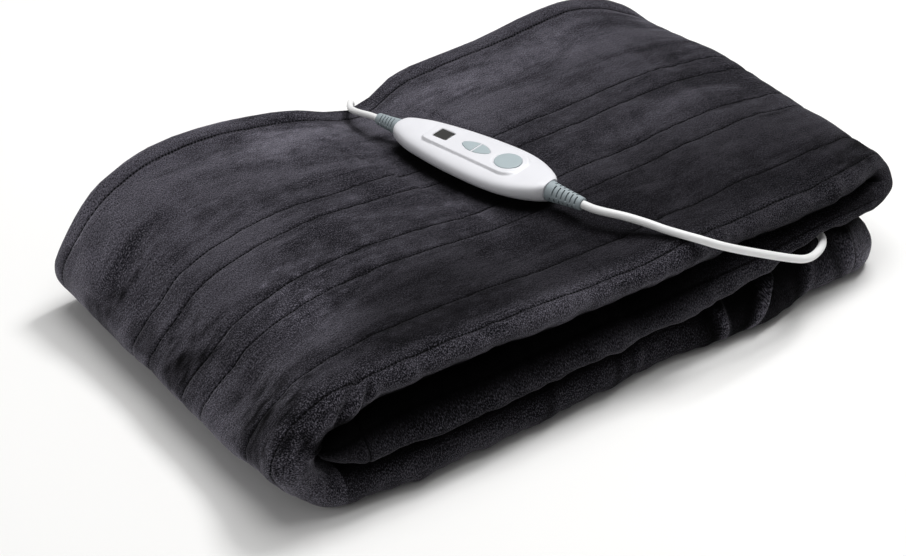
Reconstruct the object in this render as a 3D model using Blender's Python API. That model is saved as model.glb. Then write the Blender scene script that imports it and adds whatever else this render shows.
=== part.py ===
"""Electric heated blanket: a folded plush throw with its hand controller, two leads and a plug.

The blanket is folded in four across its width, then in three along its length like a letter.
+X runs along the long folds, +Y points to the hemmed far edge and +Z is up. The origin is on the
floor under the middle of the folded blanket. Sizes and tables are in millimetres; MM scales them.
"""
import math

import bmesh
import bpy
import numpy as np
from mathutils import Matrix, Vector

MM = 0.001
TOUCH = 0.3                     # gap between two pieces that touch

# Blanket: one cloth, PLIES layers of it in each section
PLY = 6.4                       # two plush fleeces sewn together
PLY_GAP = 1.0
PLIES = 4
STRIP = PLIES * PLY + (PLIES - 1) * PLY_GAP
SECTION_GAP = 2.0
PITCH = STRIP + SECTION_GAP     # from one section to the next above it
STACK = 3 * STRIP + 2 * SECTION_GAP
FOLD_WIDTH = 321.0
FOLD_LENGTH = 553.0
HEM_SETBACK = 2.5               # the two hems stop short of the fold under them
LEFT_BEND_X = -FOLD_LENGTH / 2 + PITCH + STRIP / 2
RIGHT_BEND_X = FOLD_LENGTH / 2 - PITCH / 2 - STRIP / 2
INNER_END_X = LEFT_BEND_X - 4.0  # the middle section's end, inside the left bend
OUTER_END_X = 241.0             # the bottom section's end, at the right
END_BULGE = 6.0                 # how far the middle of an end stands past its edges
CORNER_PULL = 20.0              # the far right corner sits back from the right end
LEAD_CROSSING_X = (-6.0, -18.0, -34.0)  # the far edge dips here under the mains lead

# Controller
HOUSING_ANGLE = math.radians(-74.6)
HOUSING_TILT = math.radians(1.3)  # its end with the blanket's lead lies higher
HOUSING_AT = (-1.7, 10.2, 91.2)
HOUSING_MIDDLE = 10.0           # height of its widest line above its underside
PANEL_TOP = 21.0
PANEL_FROM, PANEL_TO = -46.0, 37.0
PANEL_HALF_LEFT, PANEL_HALF_RIGHT = 12.5, 16.0
KEY_FOOT, KEY_TOP = 17.4, 21.5
KEY_TRAVEL = 0.8
LENS_AT, LENS_LENGTH, LENS_WIDTH, LENS_SPLIT = -2.5, 27.0, 12.4, 1.6
ROUND_KEY_AT, ROUND_KEY_RADIUS = 27.1, 10.2
DISPLAY_AT, DISPLAY_SIZE = -32.8, (13.2, 12.0)
DISPLAY_FOOT, DISPLAY_TOP = 19.2, 20.8
EXIT_HEIGHT = 10.7              # of both strain reliefs above its underside
BLANKET_RELIEF = (29.0, 7.6, 4.8)     # length, radius at the housing, radius at the tip
MAINS_RELIEF = (21.0, 6.4, 4.4)
RELIEF_RIBS = 7

# Leads
BLANKET_LEAD = 6.0              # diameters
MAINS_LEAD = 5.0
COIL_AT = (-98.0, 206.0)
COIL_RADIUS = 27.5              # at the middle of its turns
COIL_TURNS_WIDE, COIL_TURNS_HIGH = 3, 4
TANGENT_RUN = 20.5              # a lead stops this far short of its tangent point on the coil

# Plug: flat two-pin
PLUG_AT = (-199.0, 188.0)       # the middle of its pin face
PLUG_LENGTH, PLUG_WIDTH, PLUG_THICKNESS = 37.0, 35.0, 13.7
PIN_LENGTH, PIN_RADIUS, PIN_SPACING = 19.0, 2.0, 18.6

# Each row: place along X, then the outermost near edge of the bottom, middle and top sections
NEAR_EDGE = np.array([
    # x      bottom  middle  top
    (-276.0, -150.0, -152.0, -149.0),
    (-240.0, -161.0, -162.0, -156.0),
    (-200.0, -166.0, -169.0, -157.0),
    (-130.0, -167.0, -171.0, -156.0),
    (-60.0, -165.0, -167.0, -156.0),
    (0.0, -161.0, -164.0, -156.0),
    (40.0, -158.0, -163.0, -156.0),
    (80.0, -163.0, -160.0, -153.0),
    (120.0, -165.0, -158.0, -151.0),
    (160.0, -160.0, -155.0, -149.0),
    (200.0, -155.0, -152.0, -146.0),
    (240.0, -154.0, -149.0, -139.0),
    (276.0, -148.0, -140.0, -127.0),
])
# The same for the outermost far edge
FAR_EDGE = np.array([
    # x      bottom  middle  top
    (-276.0, 150.0, 150.0, 150.0),
    (-240.0, 157.0, 155.0, 161.0),
    (-190.0, 158.0, 154.0, 166.0),
    (-90.0, 157.0, 153.0, 165.0),
    (-18.0, 156.0, 153.0, 155.0),
    (30.0, 158.0, 154.0, 164.0),
    (130.0, 159.0, 156.0, 166.0),
    (220.0, 160.0, 158.0, 164.0),
    (276.0, 156.0, 152.0, 150.0),
])
# Height of the top over STACK at four lines along X, and how far the far lip rises past the hem
TOP_HEIGHT = np.array([
    # x      near   middle  hem    lip
    (-276.0, 0.800, 0.550, 0.800, 1.0),
    (-262.0, 0.880, 0.620, 0.820, 2.0),
    (-250.0, 0.930, 0.690, 0.860, 3.0),
    (-238.0, 0.980, 0.800, 0.910, 4.0),
    (-220.0, 1.020, 0.890, 0.980, 5.0),
    (-200.0, 1.035, 0.950, 1.040, 6.0),
    (-175.0, 1.040, 1.020, 1.060, 7.0),
    (-140.0, 1.035, 1.040, 1.065, 6.0),
    (-100.0, 1.030, 1.040, 1.030, 5.0),
    (-65.0, 1.020, 1.030, 0.985, 4.0),
    (-18.0, 1.010, 1.020, 0.902, 0.0),
    (20.0, 1.005, 1.020, 1.010, 2.0),
    (60.0, 1.025, 1.020, 1.010, 3.5),
    (100.0, 1.025, 1.025, 1.025, 4.0),
    (150.0, 1.010, 1.050, 1.070, 7.0),
    (190.0, 0.985, 1.050, 1.080, 7.0),
    (230.0, 0.970, 1.010, 1.000, 5.0),
    (255.0, 0.960, 0.970, 0.890, 3.0),
    (276.0, 0.940, 0.950, 0.820, 0.0),
])
TOP_LINES_Y = (-150.0, -75.0, 45.0, 149.0)   # near, middle twice, hem
LIP_FROM, LIP_TO = 143.0, 162.0
# Heights of the two gaps over the top's height, at the near side; a third and two thirds far away
GAP_HEIGHT = np.array([
    # x      lower  upper
    (-276.0, 0.330, 0.670),
    (-100.0, 0.335, 0.680),
    (0.0, 0.340, 0.680),
    (80.0, 0.360, 0.700),
    (130.0, 0.420, 0.720),
    (190.0, 0.525, 0.760),
    (230.0, 0.540, 0.780),
    (276.0, 0.540, 0.790),
])
LEAD_MOUTH_AT, LEAD_MOUTH_SPREAD, LEAD_MOUTH_OPEN = 192.0, 36.0, 3.6
# How far the near rolls lean back: the bottom's and the middle's at their tops, the top's below
LEAN = np.array([
    # x      bottom  middle  top
    (-276.0, 0.0, 0.0, 0.0),
    (-232.0, 0.0, 0.0, 0.0),
    (-214.0, 0.0, 13.0, 4.0),
    (-190.0, 0.0, 21.0, 7.0),
    (-100.0, 0.0, 22.0, 8.0),
    (0.0, 3.0, 20.0, 8.0),
    (55.0, 7.0, 14.0, 6.0),
    (100.0, 15.0, 8.0, 4.0),
    (140.0, 19.0, 5.0, 2.0),
    (190.0, 17.0, 2.0, 0.0),
    (228.0, 13.0, 0.0, 0.0),
    (276.0, 10.0, 0.0, 0.0),
])
LEAN_FROM_Y, LEAN_TO_Y = -165.0, -15.0

# Housing: place along its length, half width, top and underside
HOUSING_SHAPE = np.array([
    # s     half   top   under
    (-75.5, 7.4, 16.8, 3.6),
    (-74.3, 9.4, 17.4, 2.6),
    (-71.0, 11.8, 18.0, 1.6),
    (-65.0, 14.8, 18.5, 0.6),
    (-57.0, 17.8, 18.9, 0.1),
    (-45.0, 20.6, 19.2, 0.0),
    (-28.0, 23.6, 19.4, 0.0),
    (-10.0, 25.6, 19.5, 0.0),
    (8.0, 26.6, 19.5, 0.0),
    (24.0, 26.4, 19.5, 0.0),
    (37.0, 24.4, 19.4, 0.0),
    (48.0, 20.6, 19.2, 0.2),
    (56.0, 16.4, 19.0, 0.8),
    (61.5, 12.6, 18.8, 1.6),
    (65.0, 8.8, 18.4, 2.4),
])

# Lead routes after they leave their strain reliefs, points chosen by hand
BLANKET_LEAD_ROUTE = (
    (25.5, -88.6, 104.2), (29.6, -95.9, 104.0), (35.8, -103.3, 103.2), (43.0, -111.2, 101.6),
    (50.6, -120.5, 99.4), (57.4, -130.4, 97.4), (63.6, -140.4, 96.6), (71.6, -151.4, 95.2),
    (83.4, -159.6, 90.2), (98.5, -164.4, 83.2), (115.8, -166.4, 74.6), (133.0, -167.4, 65.8),
    (146.6, -167.8, 59.0), (158.0, -167.0, 53.6), (168.6, -164.4, 50.2), (178.4, -160.2, 48.6),
    (187.0, -154.6, 47.6), (193.0, -148.2, 47.0), (196.0, -141.5, 46.8),
)
MAINS_LEAD_ROUTE = (
    (-29.6, 111.3, 99.3), (-31.0, 117.5, 98.0), (-31.3, 124.2, 96.0), (-30.8, 130.7, 93.8),
    (-29.4, 137.7, 91.2), (-27.6, 142.4, 89.8), (-26.0, 146.0, 89.2), (-22.0, 151.3, 88.0),
    (-18.5, 156.0, 84.6), (-15.9, 159.5, 79.4), (-14.5, 161.4, 73.1), (-14.2, 162.2, 65.0),
    (-14.2, 163.8, 54.0), (-14.3, 165.9, 43.0), (-14.5, 167.7, 32.0), (-15.0, 169.0, 22.1),
    (-17.6, 170.3, 12.4), (-24.8, 171.6, 5.2), (-34.5, 172.6, 2.6), (-46.0, 173.3, 2.6),
    (-56.0, 173.5, 2.6),
)
TAIL_ROUTE = (
    (-126.0, 173.8, 16.6), (-133.0, 175.2, 14.4), (-140.0, 178.4, 11.6), (-147.0, 182.8, 9.0),
    (-153.5, 186.6, 7.4), (-160.7, 188.0, 6.9),
)


# ---------------------------------------------------------------- materials

def material(name, colour, roughness, metallic=0.0):
    made = bpy.data.materials.new(name)
    made.use_nodes = True
    shader = made.node_tree.nodes["Principled BSDF"]
    shader.inputs["Base Color"].default_value = (*colour, 1.0)
    shader.inputs["Roughness"].default_value = roughness
    shader.inputs["Metallic"].default_value = metallic
    return made


def make_materials():
    return {
        "plush": material("plush", (0.030, 0.029, 0.035), 0.85),
        "housing": material("housing", (0.80, 0.80, 0.82), 0.32),
        "key": material("key", (0.50, 0.58, 0.61), 0.40),
        "display": material("display", (0.035, 0.035, 0.033), 0.12),
        "relief": material("relief", (0.22, 0.25, 0.27), 0.50),
        "lead": material("lead", (0.82, 0.82, 0.82), 0.38),
        "plug": material("plug", (0.80, 0.80, 0.81), 0.36),
        "pin": material("pin", (0.78, 0.66, 0.42), 0.25, 1.0),
    }


# ---------------------------------------------------------------- helpers

def add_object(name, mesh, slot, smooth_angle=40.0):
    mesh.materials.append(slot)
    mesh.shade_smooth()
    mesh.set_sharp_from_angle(angle=math.radians(smooth_angle))
    made = bpy.data.objects.new(name, mesh)
    bpy.context.collection.objects.link(made)
    return made


def finish_mesh(name, bm):
    bmesh.ops.recalc_face_normals(bm, faces=bm.faces)
    mesh = bpy.data.meshes.new(name)
    bm.to_mesh(mesh)
    bm.free()
    return mesh


def smoothstep(value, low, high):
    t = np.clip((value - low) / (high - low), 0.0, 1.0)
    return t * t * (3.0 - 2.0 * t)


def smooth_lookup(x, table, column):
    """Cubic curve through one column of a table, against its first column."""
    xs, ys = table[:, 0], table[:, column]
    slopes = np.gradient(ys, xs)
    x = np.clip(x, xs[0], xs[-1])
    i = np.clip(np.searchsorted(xs, x) - 1, 0, len(xs) - 2)
    step = xs[i + 1] - xs[i]
    t = (x - xs[i]) / step
    return ((1 + 2 * t) * (1 - t) ** 2 * ys[i] + t * (1 - t) ** 2 * step * slopes[i]
            + t * t * (3 - 2 * t) * ys[i + 1] + t * t * (t - 1) * step * slopes[i + 1])


def smooth_route(points, spacing):
    """Points at even spacing on a Catmull-Rom curve through hand-chosen ones."""
    p = np.array(points, float)
    p = np.vstack([2 * p[0] - p[1], p, 2 * p[-1] - p[-2]])
    fine = []
    for a, b, c, d in zip(p[:-3], p[1:-2], p[2:-1], p[3:]):
        for t in np.linspace(0.0, 1.0, 12, endpoint=False):
            fine.append(0.5 * (2 * b + (c - a) * t + (2 * a - 5 * b + 4 * c - d) * t ** 2
                               + (3 * b - a - 3 * c + d) * t ** 3))
    fine = np.array(fine + [p[-2]])
    run = np.concatenate([[0.0], np.cumsum(np.linalg.norm(np.diff(fine, axis=0), axis=1))])
    marks = np.linspace(0.0, run[-1], max(2, round(run[-1] / spacing) + 1))
    return np.stack([np.interp(marks, run, fine[:, k]) for k in range(3)], axis=1)


def bridge_rings(bm, rings):
    """Quads between closed rings of vertices, in order."""
    for near, far in zip(rings, rings[1:]):
        count = len(near)
        for k in range(count):
            bm.faces.new((near[k], near[(k + 1) % count], far[(k + 1) % count], far[k]))


# ---------------------------------------------------------------- blanket

def ply_levels():
    """Height of each ply's middle in a section, outermost first, from the section's middle."""
    return [(STRIP - PLY) / 2 - k * (PLY + PLY_GAP) for k in range(PLIES)]


def fold_arc(centre_y, centre_n, radius, start, stop, count):
    angles = np.radians(np.linspace(start, stop, count))
    return [(centre_y + radius * math.cos(a), centre_n + radius * math.sin(a), a) for a in angles]


def cloth_line():
    """Middle line of the cloth across a section: (y, n, direction angle), outer hem to inner hem.

    The cloth goes from its outer hem to the near fold, back to the far fold, to the near fold
    again inside the first one, and ends at its inner hem beside the outer hem.
    """
    outer, second, third, inner = ply_levels()
    half = FOLD_WIDTH / 2
    hem_y = half - HEM_SETBACK
    near_y = -half + STRIP / 2
    far_y = half - PLY - PLY_GAP / 2
    line = [(y, outer, math.pi) for y in np.linspace(hem_y, near_y, 7)]
    line += [(y, n, a + math.pi / 2) for y, n, a in
             fold_arc(near_y, 0.0, outer, 90.0, 270.0, 8)[1:-1]]
    line += [(y, inner, 0.0) for y in np.linspace(near_y, far_y, 6)]
    line += [(y, n, a + math.pi / 2) for y, n, a in
             fold_arc(far_y, (third + inner) / 2, (third - inner) / 2, -90.0, 90.0, 6)[1:-1]]
    line += [(y, third, math.pi) for y in np.linspace(far_y, near_y, 6)]
    line += [(y, n, a - math.pi / 2) for y, n, a in
             fold_arc(near_y, 0.0, second, 270.0, 90.0, 5)[1:-1]]
    line += [(y, second, 0.0) for y in np.linspace(near_y, hem_y, 6)]
    return line


def cloth_sides():
    """The two faces of the cloth across a section, as (y, n) pairs, and the two hem points."""
    left, right = [], []
    line = cloth_line()
    for y, n, angle in line:
        across = (-math.sin(angle), math.cos(angle))
        left.append((y + PLY / 2 * across[0], n + PLY / 2 * across[1]))
        right.append((y - PLY / 2 * across[0], n - PLY / 2 * across[1]))
    hems = [(y + PLY / 3, n) for y, n, _ in (line[0], line[-1])]
    return left, right, hems


def letter_path():
    """Sections of the C-shaped path in X and Z: (x, z, normal x, normal z, end bulge)."""
    low, middle, high = (STRIP / 2 + k * PITCH for k in range(3))
    path = [(INNER_END_X, middle, 0.0, -1.0, -END_BULGE)]
    path += [(x, middle, 0.0, -1.0, 0.0) for x in np.linspace(INNER_END_X + 9, RIGHT_BEND_X, 13)]
    for a in np.radians(np.linspace(-90.0, 90.0, 8)[1:-1]):
        path.append((RIGHT_BEND_X + PITCH / 2 * math.cos(a), (middle + high) / 2
                     + PITCH / 2 * math.sin(a), math.cos(a), math.sin(a), 0.0))
    top = np.concatenate([np.linspace(RIGHT_BEND_X, 12.0, 8), LEAD_CROSSING_X,
                          np.linspace(-62.0, LEFT_BEND_X, 6)])
    path += [(x, high, 0.0, 1.0, 0.0) for x in top]
    for a in np.radians(np.linspace(90.0, 270.0, 10)[1:-1]):
        path.append((LEFT_BEND_X + PITCH * math.cos(a), middle + PITCH * math.sin(a),
                     math.cos(a), math.sin(a), 0.0))
    path += [(x, low, 0.0, -1.0, 0.0) for x in np.linspace(LEFT_BEND_X, OUTER_END_X - 9, 13)]
    path.append((OUTER_END_X, low, 0.0, -1.0, END_BULGE))
    return path


def section_blend(z, table, x):
    """A table's bottom, middle and top columns, passed from one to the next in the gaps."""
    lower = STRIP + SECTION_GAP / 2
    upper = lower + PITCH
    into_middle = smoothstep(z, lower - 4, lower + 4)
    into_top = smoothstep(z, upper - 4, upper + 4)
    bottom, middle, top = (smooth_lookup(x, table, k) for k in (1, 2, 3))
    return bottom + (middle - bottom) * into_middle + (top - middle) * into_top


def top_height(x, y):
    """Height of the blanket's top at x, y."""
    near, middle, hem, lip = (smooth_lookup(x, TOP_HEIGHT, k) for k in (1, 2, 3, 4))
    share = near + (middle - near) * smoothstep(y, TOP_LINES_Y[0], TOP_LINES_Y[1])
    share = share + (hem - middle) * smoothstep(y, TOP_LINES_Y[2], TOP_LINES_Y[3])
    return share * STACK + lip * smoothstep(y, LIP_FROM, LIP_TO)


def roll_lean(x, z):
    """How far a point of the neat stack leans back, for its section and its height in it."""
    bottom, middle, top = (smooth_lookup(x, LEAN, k) for k in (1, 2, 3))
    low = bottom * smoothstep(z / STRIP, 0.1, 1.0)
    mid = middle * smoothstep((z - PITCH) / STRIP, 0.1, 1.0)
    high = top * (1.0 - smoothstep((z - 2 * PITCH) / STRIP, 0.0, 0.8))
    return np.where(z < PITCH - SECTION_GAP / 2, low,
                    np.where(z < 2 * PITCH - SECTION_GAP / 2, mid, high))


def settle(x, y, z):
    """Move a point of the neat stack to where the soft blanket really lies.

    Each step moves one coordinate and keeps the order of points along it, so layers never cross.
    """
    half = FOLD_WIDTH / 2
    near_shift = section_blend(z, NEAR_EDGE, x) + half
    far_shift = section_blend(z, FAR_EDGE, x) - half
    y = y + near_shift * (0.5 - y / FOLD_WIDTH) + far_shift * (0.5 + y / FOLD_WIDTH)
    y = y + roll_lean(x, z) * (1.0 - smoothstep(y, LEAN_FROM_Y, LEAN_TO_Y))
    nearness = 1.0 - smoothstep(y, -150.0, 60.0)
    lower = 1 / 3 + (smooth_lookup(x, GAP_HEIGHT, 1) - 1 / 3) * nearness
    upper = 2 / 3 + (smooth_lookup(x, GAP_HEIGHT, 2) - 2 / 3) * nearness
    mouth = np.exp(-((x - LEAD_MOUTH_AT) / LEAD_MOUTH_SPREAD) ** 2) * (1 - smoothstep(y, -135, -110))
    slit = SECTION_GAP / 2 / STACK
    open_low = slit + mouth * LEAD_MOUTH_OPEN / STACK
    at = z / STACK
    first, second = (STRIP + SECTION_GAP / 2) / STACK, (STRIP + PITCH + SECTION_GAP / 2) / STACK
    knots = (0.0, first - slit, first + slit, second - slit, second + slit, 1.0)
    marks = (0.0 * x, lower - open_low, lower + open_low, upper - slit, upper + slit, 1.0 + 0.0 * x)
    share = np.zeros_like(x)
    for k in range(5):
        t = np.clip((at - knots[k]) / (knots[k + 1] - knots[k]), 0.0, 1.0)
        share = share + t * (marks[k + 1] - marks[k])
    x = x - CORNER_PULL * smoothstep(y, 30.0, 165.0) * smoothstep(x, 120.0, 276.0)
    return x, y, share * top_height(x, y)


def flatten_under_housing(points):
    """The cloth is pressed flat where the controller lies."""
    x, y, z = points.T
    along, across = housing_frame(x, y)
    covered = (np.abs(along + 5) < 90) & (np.abs(across) < 42)
    underside = HOUSING_AT[2] + along * math.tan(HOUSING_TILT)
    z[covered] = np.minimum(z, underside - 0.4)[covered]


def housing_frame(x, y):
    """Place along and across the controller of a point given in X and Y."""
    dx, dy = x - HOUSING_AT[0], y - HOUSING_AT[1]
    c, s = math.cos(HOUSING_ANGLE), math.sin(HOUSING_ANGLE)
    return dx * c + dy * s, -dx * s + dy * c


def make_blanket(slot):
    left, right, hems = cloth_sides()
    outline = np.array([hems[0]] + left + [hems[1]] + right[::-1])
    path = letter_path()
    points = []
    for x, z, nx, nz, bulge in path:
        across = bulge * (1.0 - (2 * outline[:, 1] / STRIP) ** 2)
        points.append(np.stack([x + outline[:, 1] * nx + across, outline[:, 0],
                                z + outline[:, 1] * nz], axis=1))
    points = np.concatenate(points)
    points = np.stack(settle(*points.T), axis=1)
    flatten_under_housing(points)
    middle = (points.min(axis=0) + points.max(axis=0)) / 2
    points -= (middle[0], middle[1], 0.0)

    bm = bmesh.new()
    verts = [bm.verts.new(p) for p in points * MM]
    size = len(outline)
    rings = [verts[k:k + size] for k in range(0, len(verts), size)]
    bridge_rings(bm, rings)
    count = len(left)
    for ring in (rings[0], rings[-1]):
        first, one_side = ring[0], ring[1:count + 1]
        last, other_side = ring[count + 1], ring[:count + 1:-1]
        for k in range(count - 1):
            bm.faces.new((one_side[k], one_side[k + 1], other_side[k + 1], other_side[k]))
        bm.faces.new((first, one_side[0], other_side[0]))
        bm.faces.new((last, other_side[-1], one_side[-1]))
    return add_object("blanket", finish_mesh("blanket", bm), slot, 75.0)


# ---------------------------------------------------------------- controller

def on_housing(piece):
    piece.location = Vector(HOUSING_AT) * MM
    piece.rotation_euler = (0.0, -HOUSING_TILT, HOUSING_ANGLE)
    return piece


def exit_point(along):
    """Place on the line of the two strain reliefs, at some distance along the controller."""
    flat = along * math.cos(HOUSING_TILT) - EXIT_HEIGHT * math.sin(HOUSING_TILT)
    rise = along * math.sin(HOUSING_TILT) + EXIT_HEIGHT * math.cos(HOUSING_TILT)
    return (HOUSING_AT[0] + flat * math.cos(HOUSING_ANGLE),
            HOUSING_AT[1] + flat * math.sin(HOUSING_ANGLE), HOUSING_AT[2] + rise)


def prism(name, outline, low, high, slot=None):
    """Upright solid of an outline given in mm."""
    bm = bmesh.new()
    foot = [bm.verts.new((x * MM, y * MM, low * MM)) for x, y in outline]
    head = [bm.verts.new((x * MM, y * MM, high * MM)) for x, y in outline]
    bridge_rings(bm, [foot, head])
    bm.faces.new(foot)
    bm.faces.new(head)
    mesh = finish_mesh(name, bm)
    if slot is None:
        cutter = bpy.data.objects.new(name, mesh)
        bpy.context.collection.objects.link(cutter)
        cutter.hide_render = True
        cutter.display_type = "WIRE"
        return cutter
    return add_object(name, mesh, slot)


def rounded_outline(corners, radius, steps=4):
    """Outline with its corners cut round, for corners given counter-clockwise."""
    outline = []
    count = len(corners)
    for k in range(count):
        here = Vector(corners[k])
        before = (Vector(corners[k - 1]) - here).normalized()
        after = (Vector(corners[(k + 1) % count]) - here).normalized()
        half = before.angle(after) / 2
        back = radius / math.tan(half)
        middle = here + (before + after).normalized() * radius / math.sin(half)
        start = here + before * back - middle
        turn = math.pi - 2 * half
        for j in range(steps + 1):
            spun = start.copy()
            spun.rotate(Matrix.Rotation(turn * j / steps, 2))
            outline.append(tuple(middle + spun))
    return outline


def half_lens(side, grow):
    """Half of a pointed oval, on one side of its split; grow widens it all round."""
    half, rise = LENS_LENGTH / 2, LENS_WIDTH / 2
    bow = (half ** 2 + rise ** 2) / (2 * rise)
    start = LENS_SPLIT / 2 - grow
    stop = half - 1.2 + grow
    edge = [(s, math.sqrt((bow + grow) ** 2 - s * s) - (bow - rise)) for s in
            np.linspace(start, stop, 9)]
    outline = [(s, -w) for s, w in edge] + [(s, w) for s, w in reversed(edge)]
    return [(LENS_AT + side * s, side * w) for s, w in outline]


def disc_outline(centre, radius, count=32):
    turns = (2 * math.pi * k / count for k in range(count))
    return [(centre + radius * math.cos(a), radius * math.sin(a)) for a in turns]


def display_outline(grow):
    half_s, half_w = DISPLAY_SIZE[0] / 2 + grow, DISPLAY_SIZE[1] / 2 + grow
    corners = [(DISPLAY_AT - half_s, -half_w), (DISPLAY_AT + half_s, -half_w),
               (DISPLAY_AT + half_s, half_w), (DISPLAY_AT - half_s, half_w)]
    return rounded_outline(corners, 1.2 + grow)


def panel_outline():
    corners = [(PANEL_FROM, -PANEL_HALF_LEFT), (PANEL_TO, -PANEL_HALF_RIGHT),
               (PANEL_TO, PANEL_HALF_RIGHT), (PANEL_FROM, PANEL_HALF_LEFT)]
    return rounded_outline(corners, 5.0)


def housing_ring(half, top, under, count=24):
    """Cross-section of the housing: a squarish oval, flatter below."""
    ring = []
    for k in range(count):
        a = 2 * math.pi * k / count
        c, s = math.cos(a), math.sin(a)
        square = 0.80 if s > 0 else 0.66
        across = half * math.copysign(abs(c) ** square, c)
        rise = (top - HOUSING_MIDDLE) if s > 0 else (HOUSING_MIDDLE - under)
        ring.append((across, HOUSING_MIDDLE + rise * math.copysign(abs(s) ** square, s)))
    return ring


def cut(piece, cutter):
    modifier = piece.modifiers.new(cutter.name, "BOOLEAN")
    modifier.operation = "DIFFERENCE"
    modifier.object = cutter


def make_housing(slot):
    bm = bmesh.new()
    rings = []
    for s, half, top, under in HOUSING_SHAPE:
        rings.append([bm.verts.new((s * MM, y * MM, z * MM))
                      for y, z in housing_ring(half, top, under)])
    bridge_rings(bm, rings)
    bm.faces.new(rings[0])
    bm.faces.new(rings[-1])
    housing = on_housing(add_object("housing", finish_mesh("housing", bm), slot))
    panel = on_housing(prism("panel_form", panel_outline(), HOUSING_MIDDLE, PANEL_TOP))
    joined = housing.modifiers.new("panel", "BOOLEAN")
    joined.operation = "UNION"
    joined.object = panel
    pocket_foot = KEY_FOOT - KEY_TRAVEL - TOUCH
    pockets = [("pocket_lower", half_lens(-1, TOUCH), pocket_foot),
               ("pocket_raise", half_lens(1, TOUCH), pocket_foot),
               ("pocket_power", disc_outline(ROUND_KEY_AT, ROUND_KEY_RADIUS + TOUCH), pocket_foot),
               ("pocket_display", display_outline(TOUCH), DISPLAY_FOOT - TOUCH)]
    for name, outline, foot in pockets:
        cut(housing, on_housing(prism(name, outline, foot, PANEL_TOP + 5)))
    return housing


def make_keys(slots):
    on_housing(prism("key_lower", half_lens(-1, 0.0), KEY_FOOT, KEY_TOP, slots["key"]))
    on_housing(prism("key_raise", half_lens(1, 0.0), KEY_FOOT, KEY_TOP, slots["key"]))
    power = disc_outline(ROUND_KEY_AT, ROUND_KEY_RADIUS)
    on_housing(prism("key_power", power, KEY_FOOT, KEY_TOP, slots["key"]))
    on_housing(prism("display", display_outline(0.0), DISPLAY_FOOT, DISPLAY_TOP, slots["display"]))


def turned(name, profile, slot, steps=20):
    """Solid turned about its own X axis from (x, radius) pairs, flat at both ends."""
    bm = bmesh.new()
    rings = []
    for x, radius in profile:
        turns = (2 * math.pi * k / steps for k in range(steps))
        rings.append([bm.verts.new((x * MM, radius * math.cos(a) * MM, radius * math.sin(a) * MM))
                      for a in turns])
    bridge_rings(bm, rings)
    bm.faces.new(rings[0])
    bm.faces.new(rings[-1])
    return add_object(name, finish_mesh(name, bm), slot, 30.0)


def make_relief(name, end, direction, size, slot):
    """Tapered, ribbed strain relief at one end of the housing; returns where its lead starts."""
    length, big, small = size
    profile = [(0.0, big), (3.0, big)]
    pitch = (length - 5.0) / RELIEF_RIBS
    for k in range(RELIEF_RIBS):
        start = 3.0 + k * pitch
        radius = big + (small - big) * (start + pitch) / length
        profile += [(start + 0.2, radius - 0.9), (start + 0.45 * pitch, radius - 0.9),
                    (start + 0.45 * pitch + 0.2, radius), (start + pitch, radius)]
    profile.append((length, small))
    relief = turned(name, profile, slot)
    relief.location = Vector(exit_point(end + direction * TOUCH)) * MM
    relief.rotation_euler = (0.0, -direction * HOUSING_TILT,
                             HOUSING_ANGLE + (0.0 if direction > 0 else math.pi))
    return exit_point(end + direction * (length + 2 * TOUCH))


# ---------------------------------------------------------------- leads

def make_lead(name, route, diameter, slot):
    curve = bpy.data.curves.new(name, "CURVE")
    curve.dimensions = "3D"
    curve.bevel_depth = diameter / 2 * MM
    curve.bevel_resolution = 2
    curve.use_fill_caps = True
    spline = curve.splines.new("POLY")
    points = smooth_route(route, diameter * 2.2) * MM
    spline.points.add(len(points) - 1)
    for point, place in zip(spline.points, points):
        point.co = (*place, 1.0)
    curve.materials.append(slot)
    made = bpy.data.objects.new(name, curve)
    bpy.context.collection.objects.link(made)


def make_coil(slot):
    """Outer shape of the wound lead: a ring with a rounded square section."""
    half_wide = COIL_TURNS_WIDE * MAINS_LEAD / 2 + 0.5
    high = COIL_TURNS_HIGH * MAINS_LEAD
    corners = [(COIL_RADIUS - half_wide, 0.0), (COIL_RADIUS + half_wide, 0.0),
               (COIL_RADIUS + half_wide, high), (COIL_RADIUS - half_wide, high)]
    section = rounded_outline(corners, 2.2, 2)
    bm = bmesh.new()
    rings = []
    steps = 40
    for k in range(steps):
        a = 2 * math.pi * k / steps
        rings.append([bm.verts.new((r * math.cos(a) * MM, r * math.sin(a) * MM, z * MM))
                      for r, z in section])
    bridge_rings(bm, rings + [rings[0]])
    coil = add_object("mains_coil", finish_mesh("mains_coil", bm), slot, 30.0)
    coil.location = (COIL_AT[0] * MM, COIL_AT[1] * MM, 0.0)


def make_mains_lead(start, slot):
    """The lead comes to the coil's lowest outer turn, and its tail leaves the highest one."""
    turn_y = COIL_AT[1] - COIL_RADIUS - (COIL_TURNS_WIDE - 1) / 2 * MAINS_LEAD
    arrive = (COIL_AT[0] + TANGENT_RUN, turn_y, MAINS_LEAD / 2 + 0.1)
    make_lead("mains_lead", (start,) + MAINS_LEAD_ROUTE + (arrive,), MAINS_LEAD, slot)
    leave = (COIL_AT[0] - TANGENT_RUN, turn_y, (COIL_TURNS_HIGH - 0.5) * MAINS_LEAD)
    make_lead("mains_tail", (leave,) + TAIL_ROUTE, MAINS_LEAD, slot)


# ---------------------------------------------------------------- plug

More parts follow.
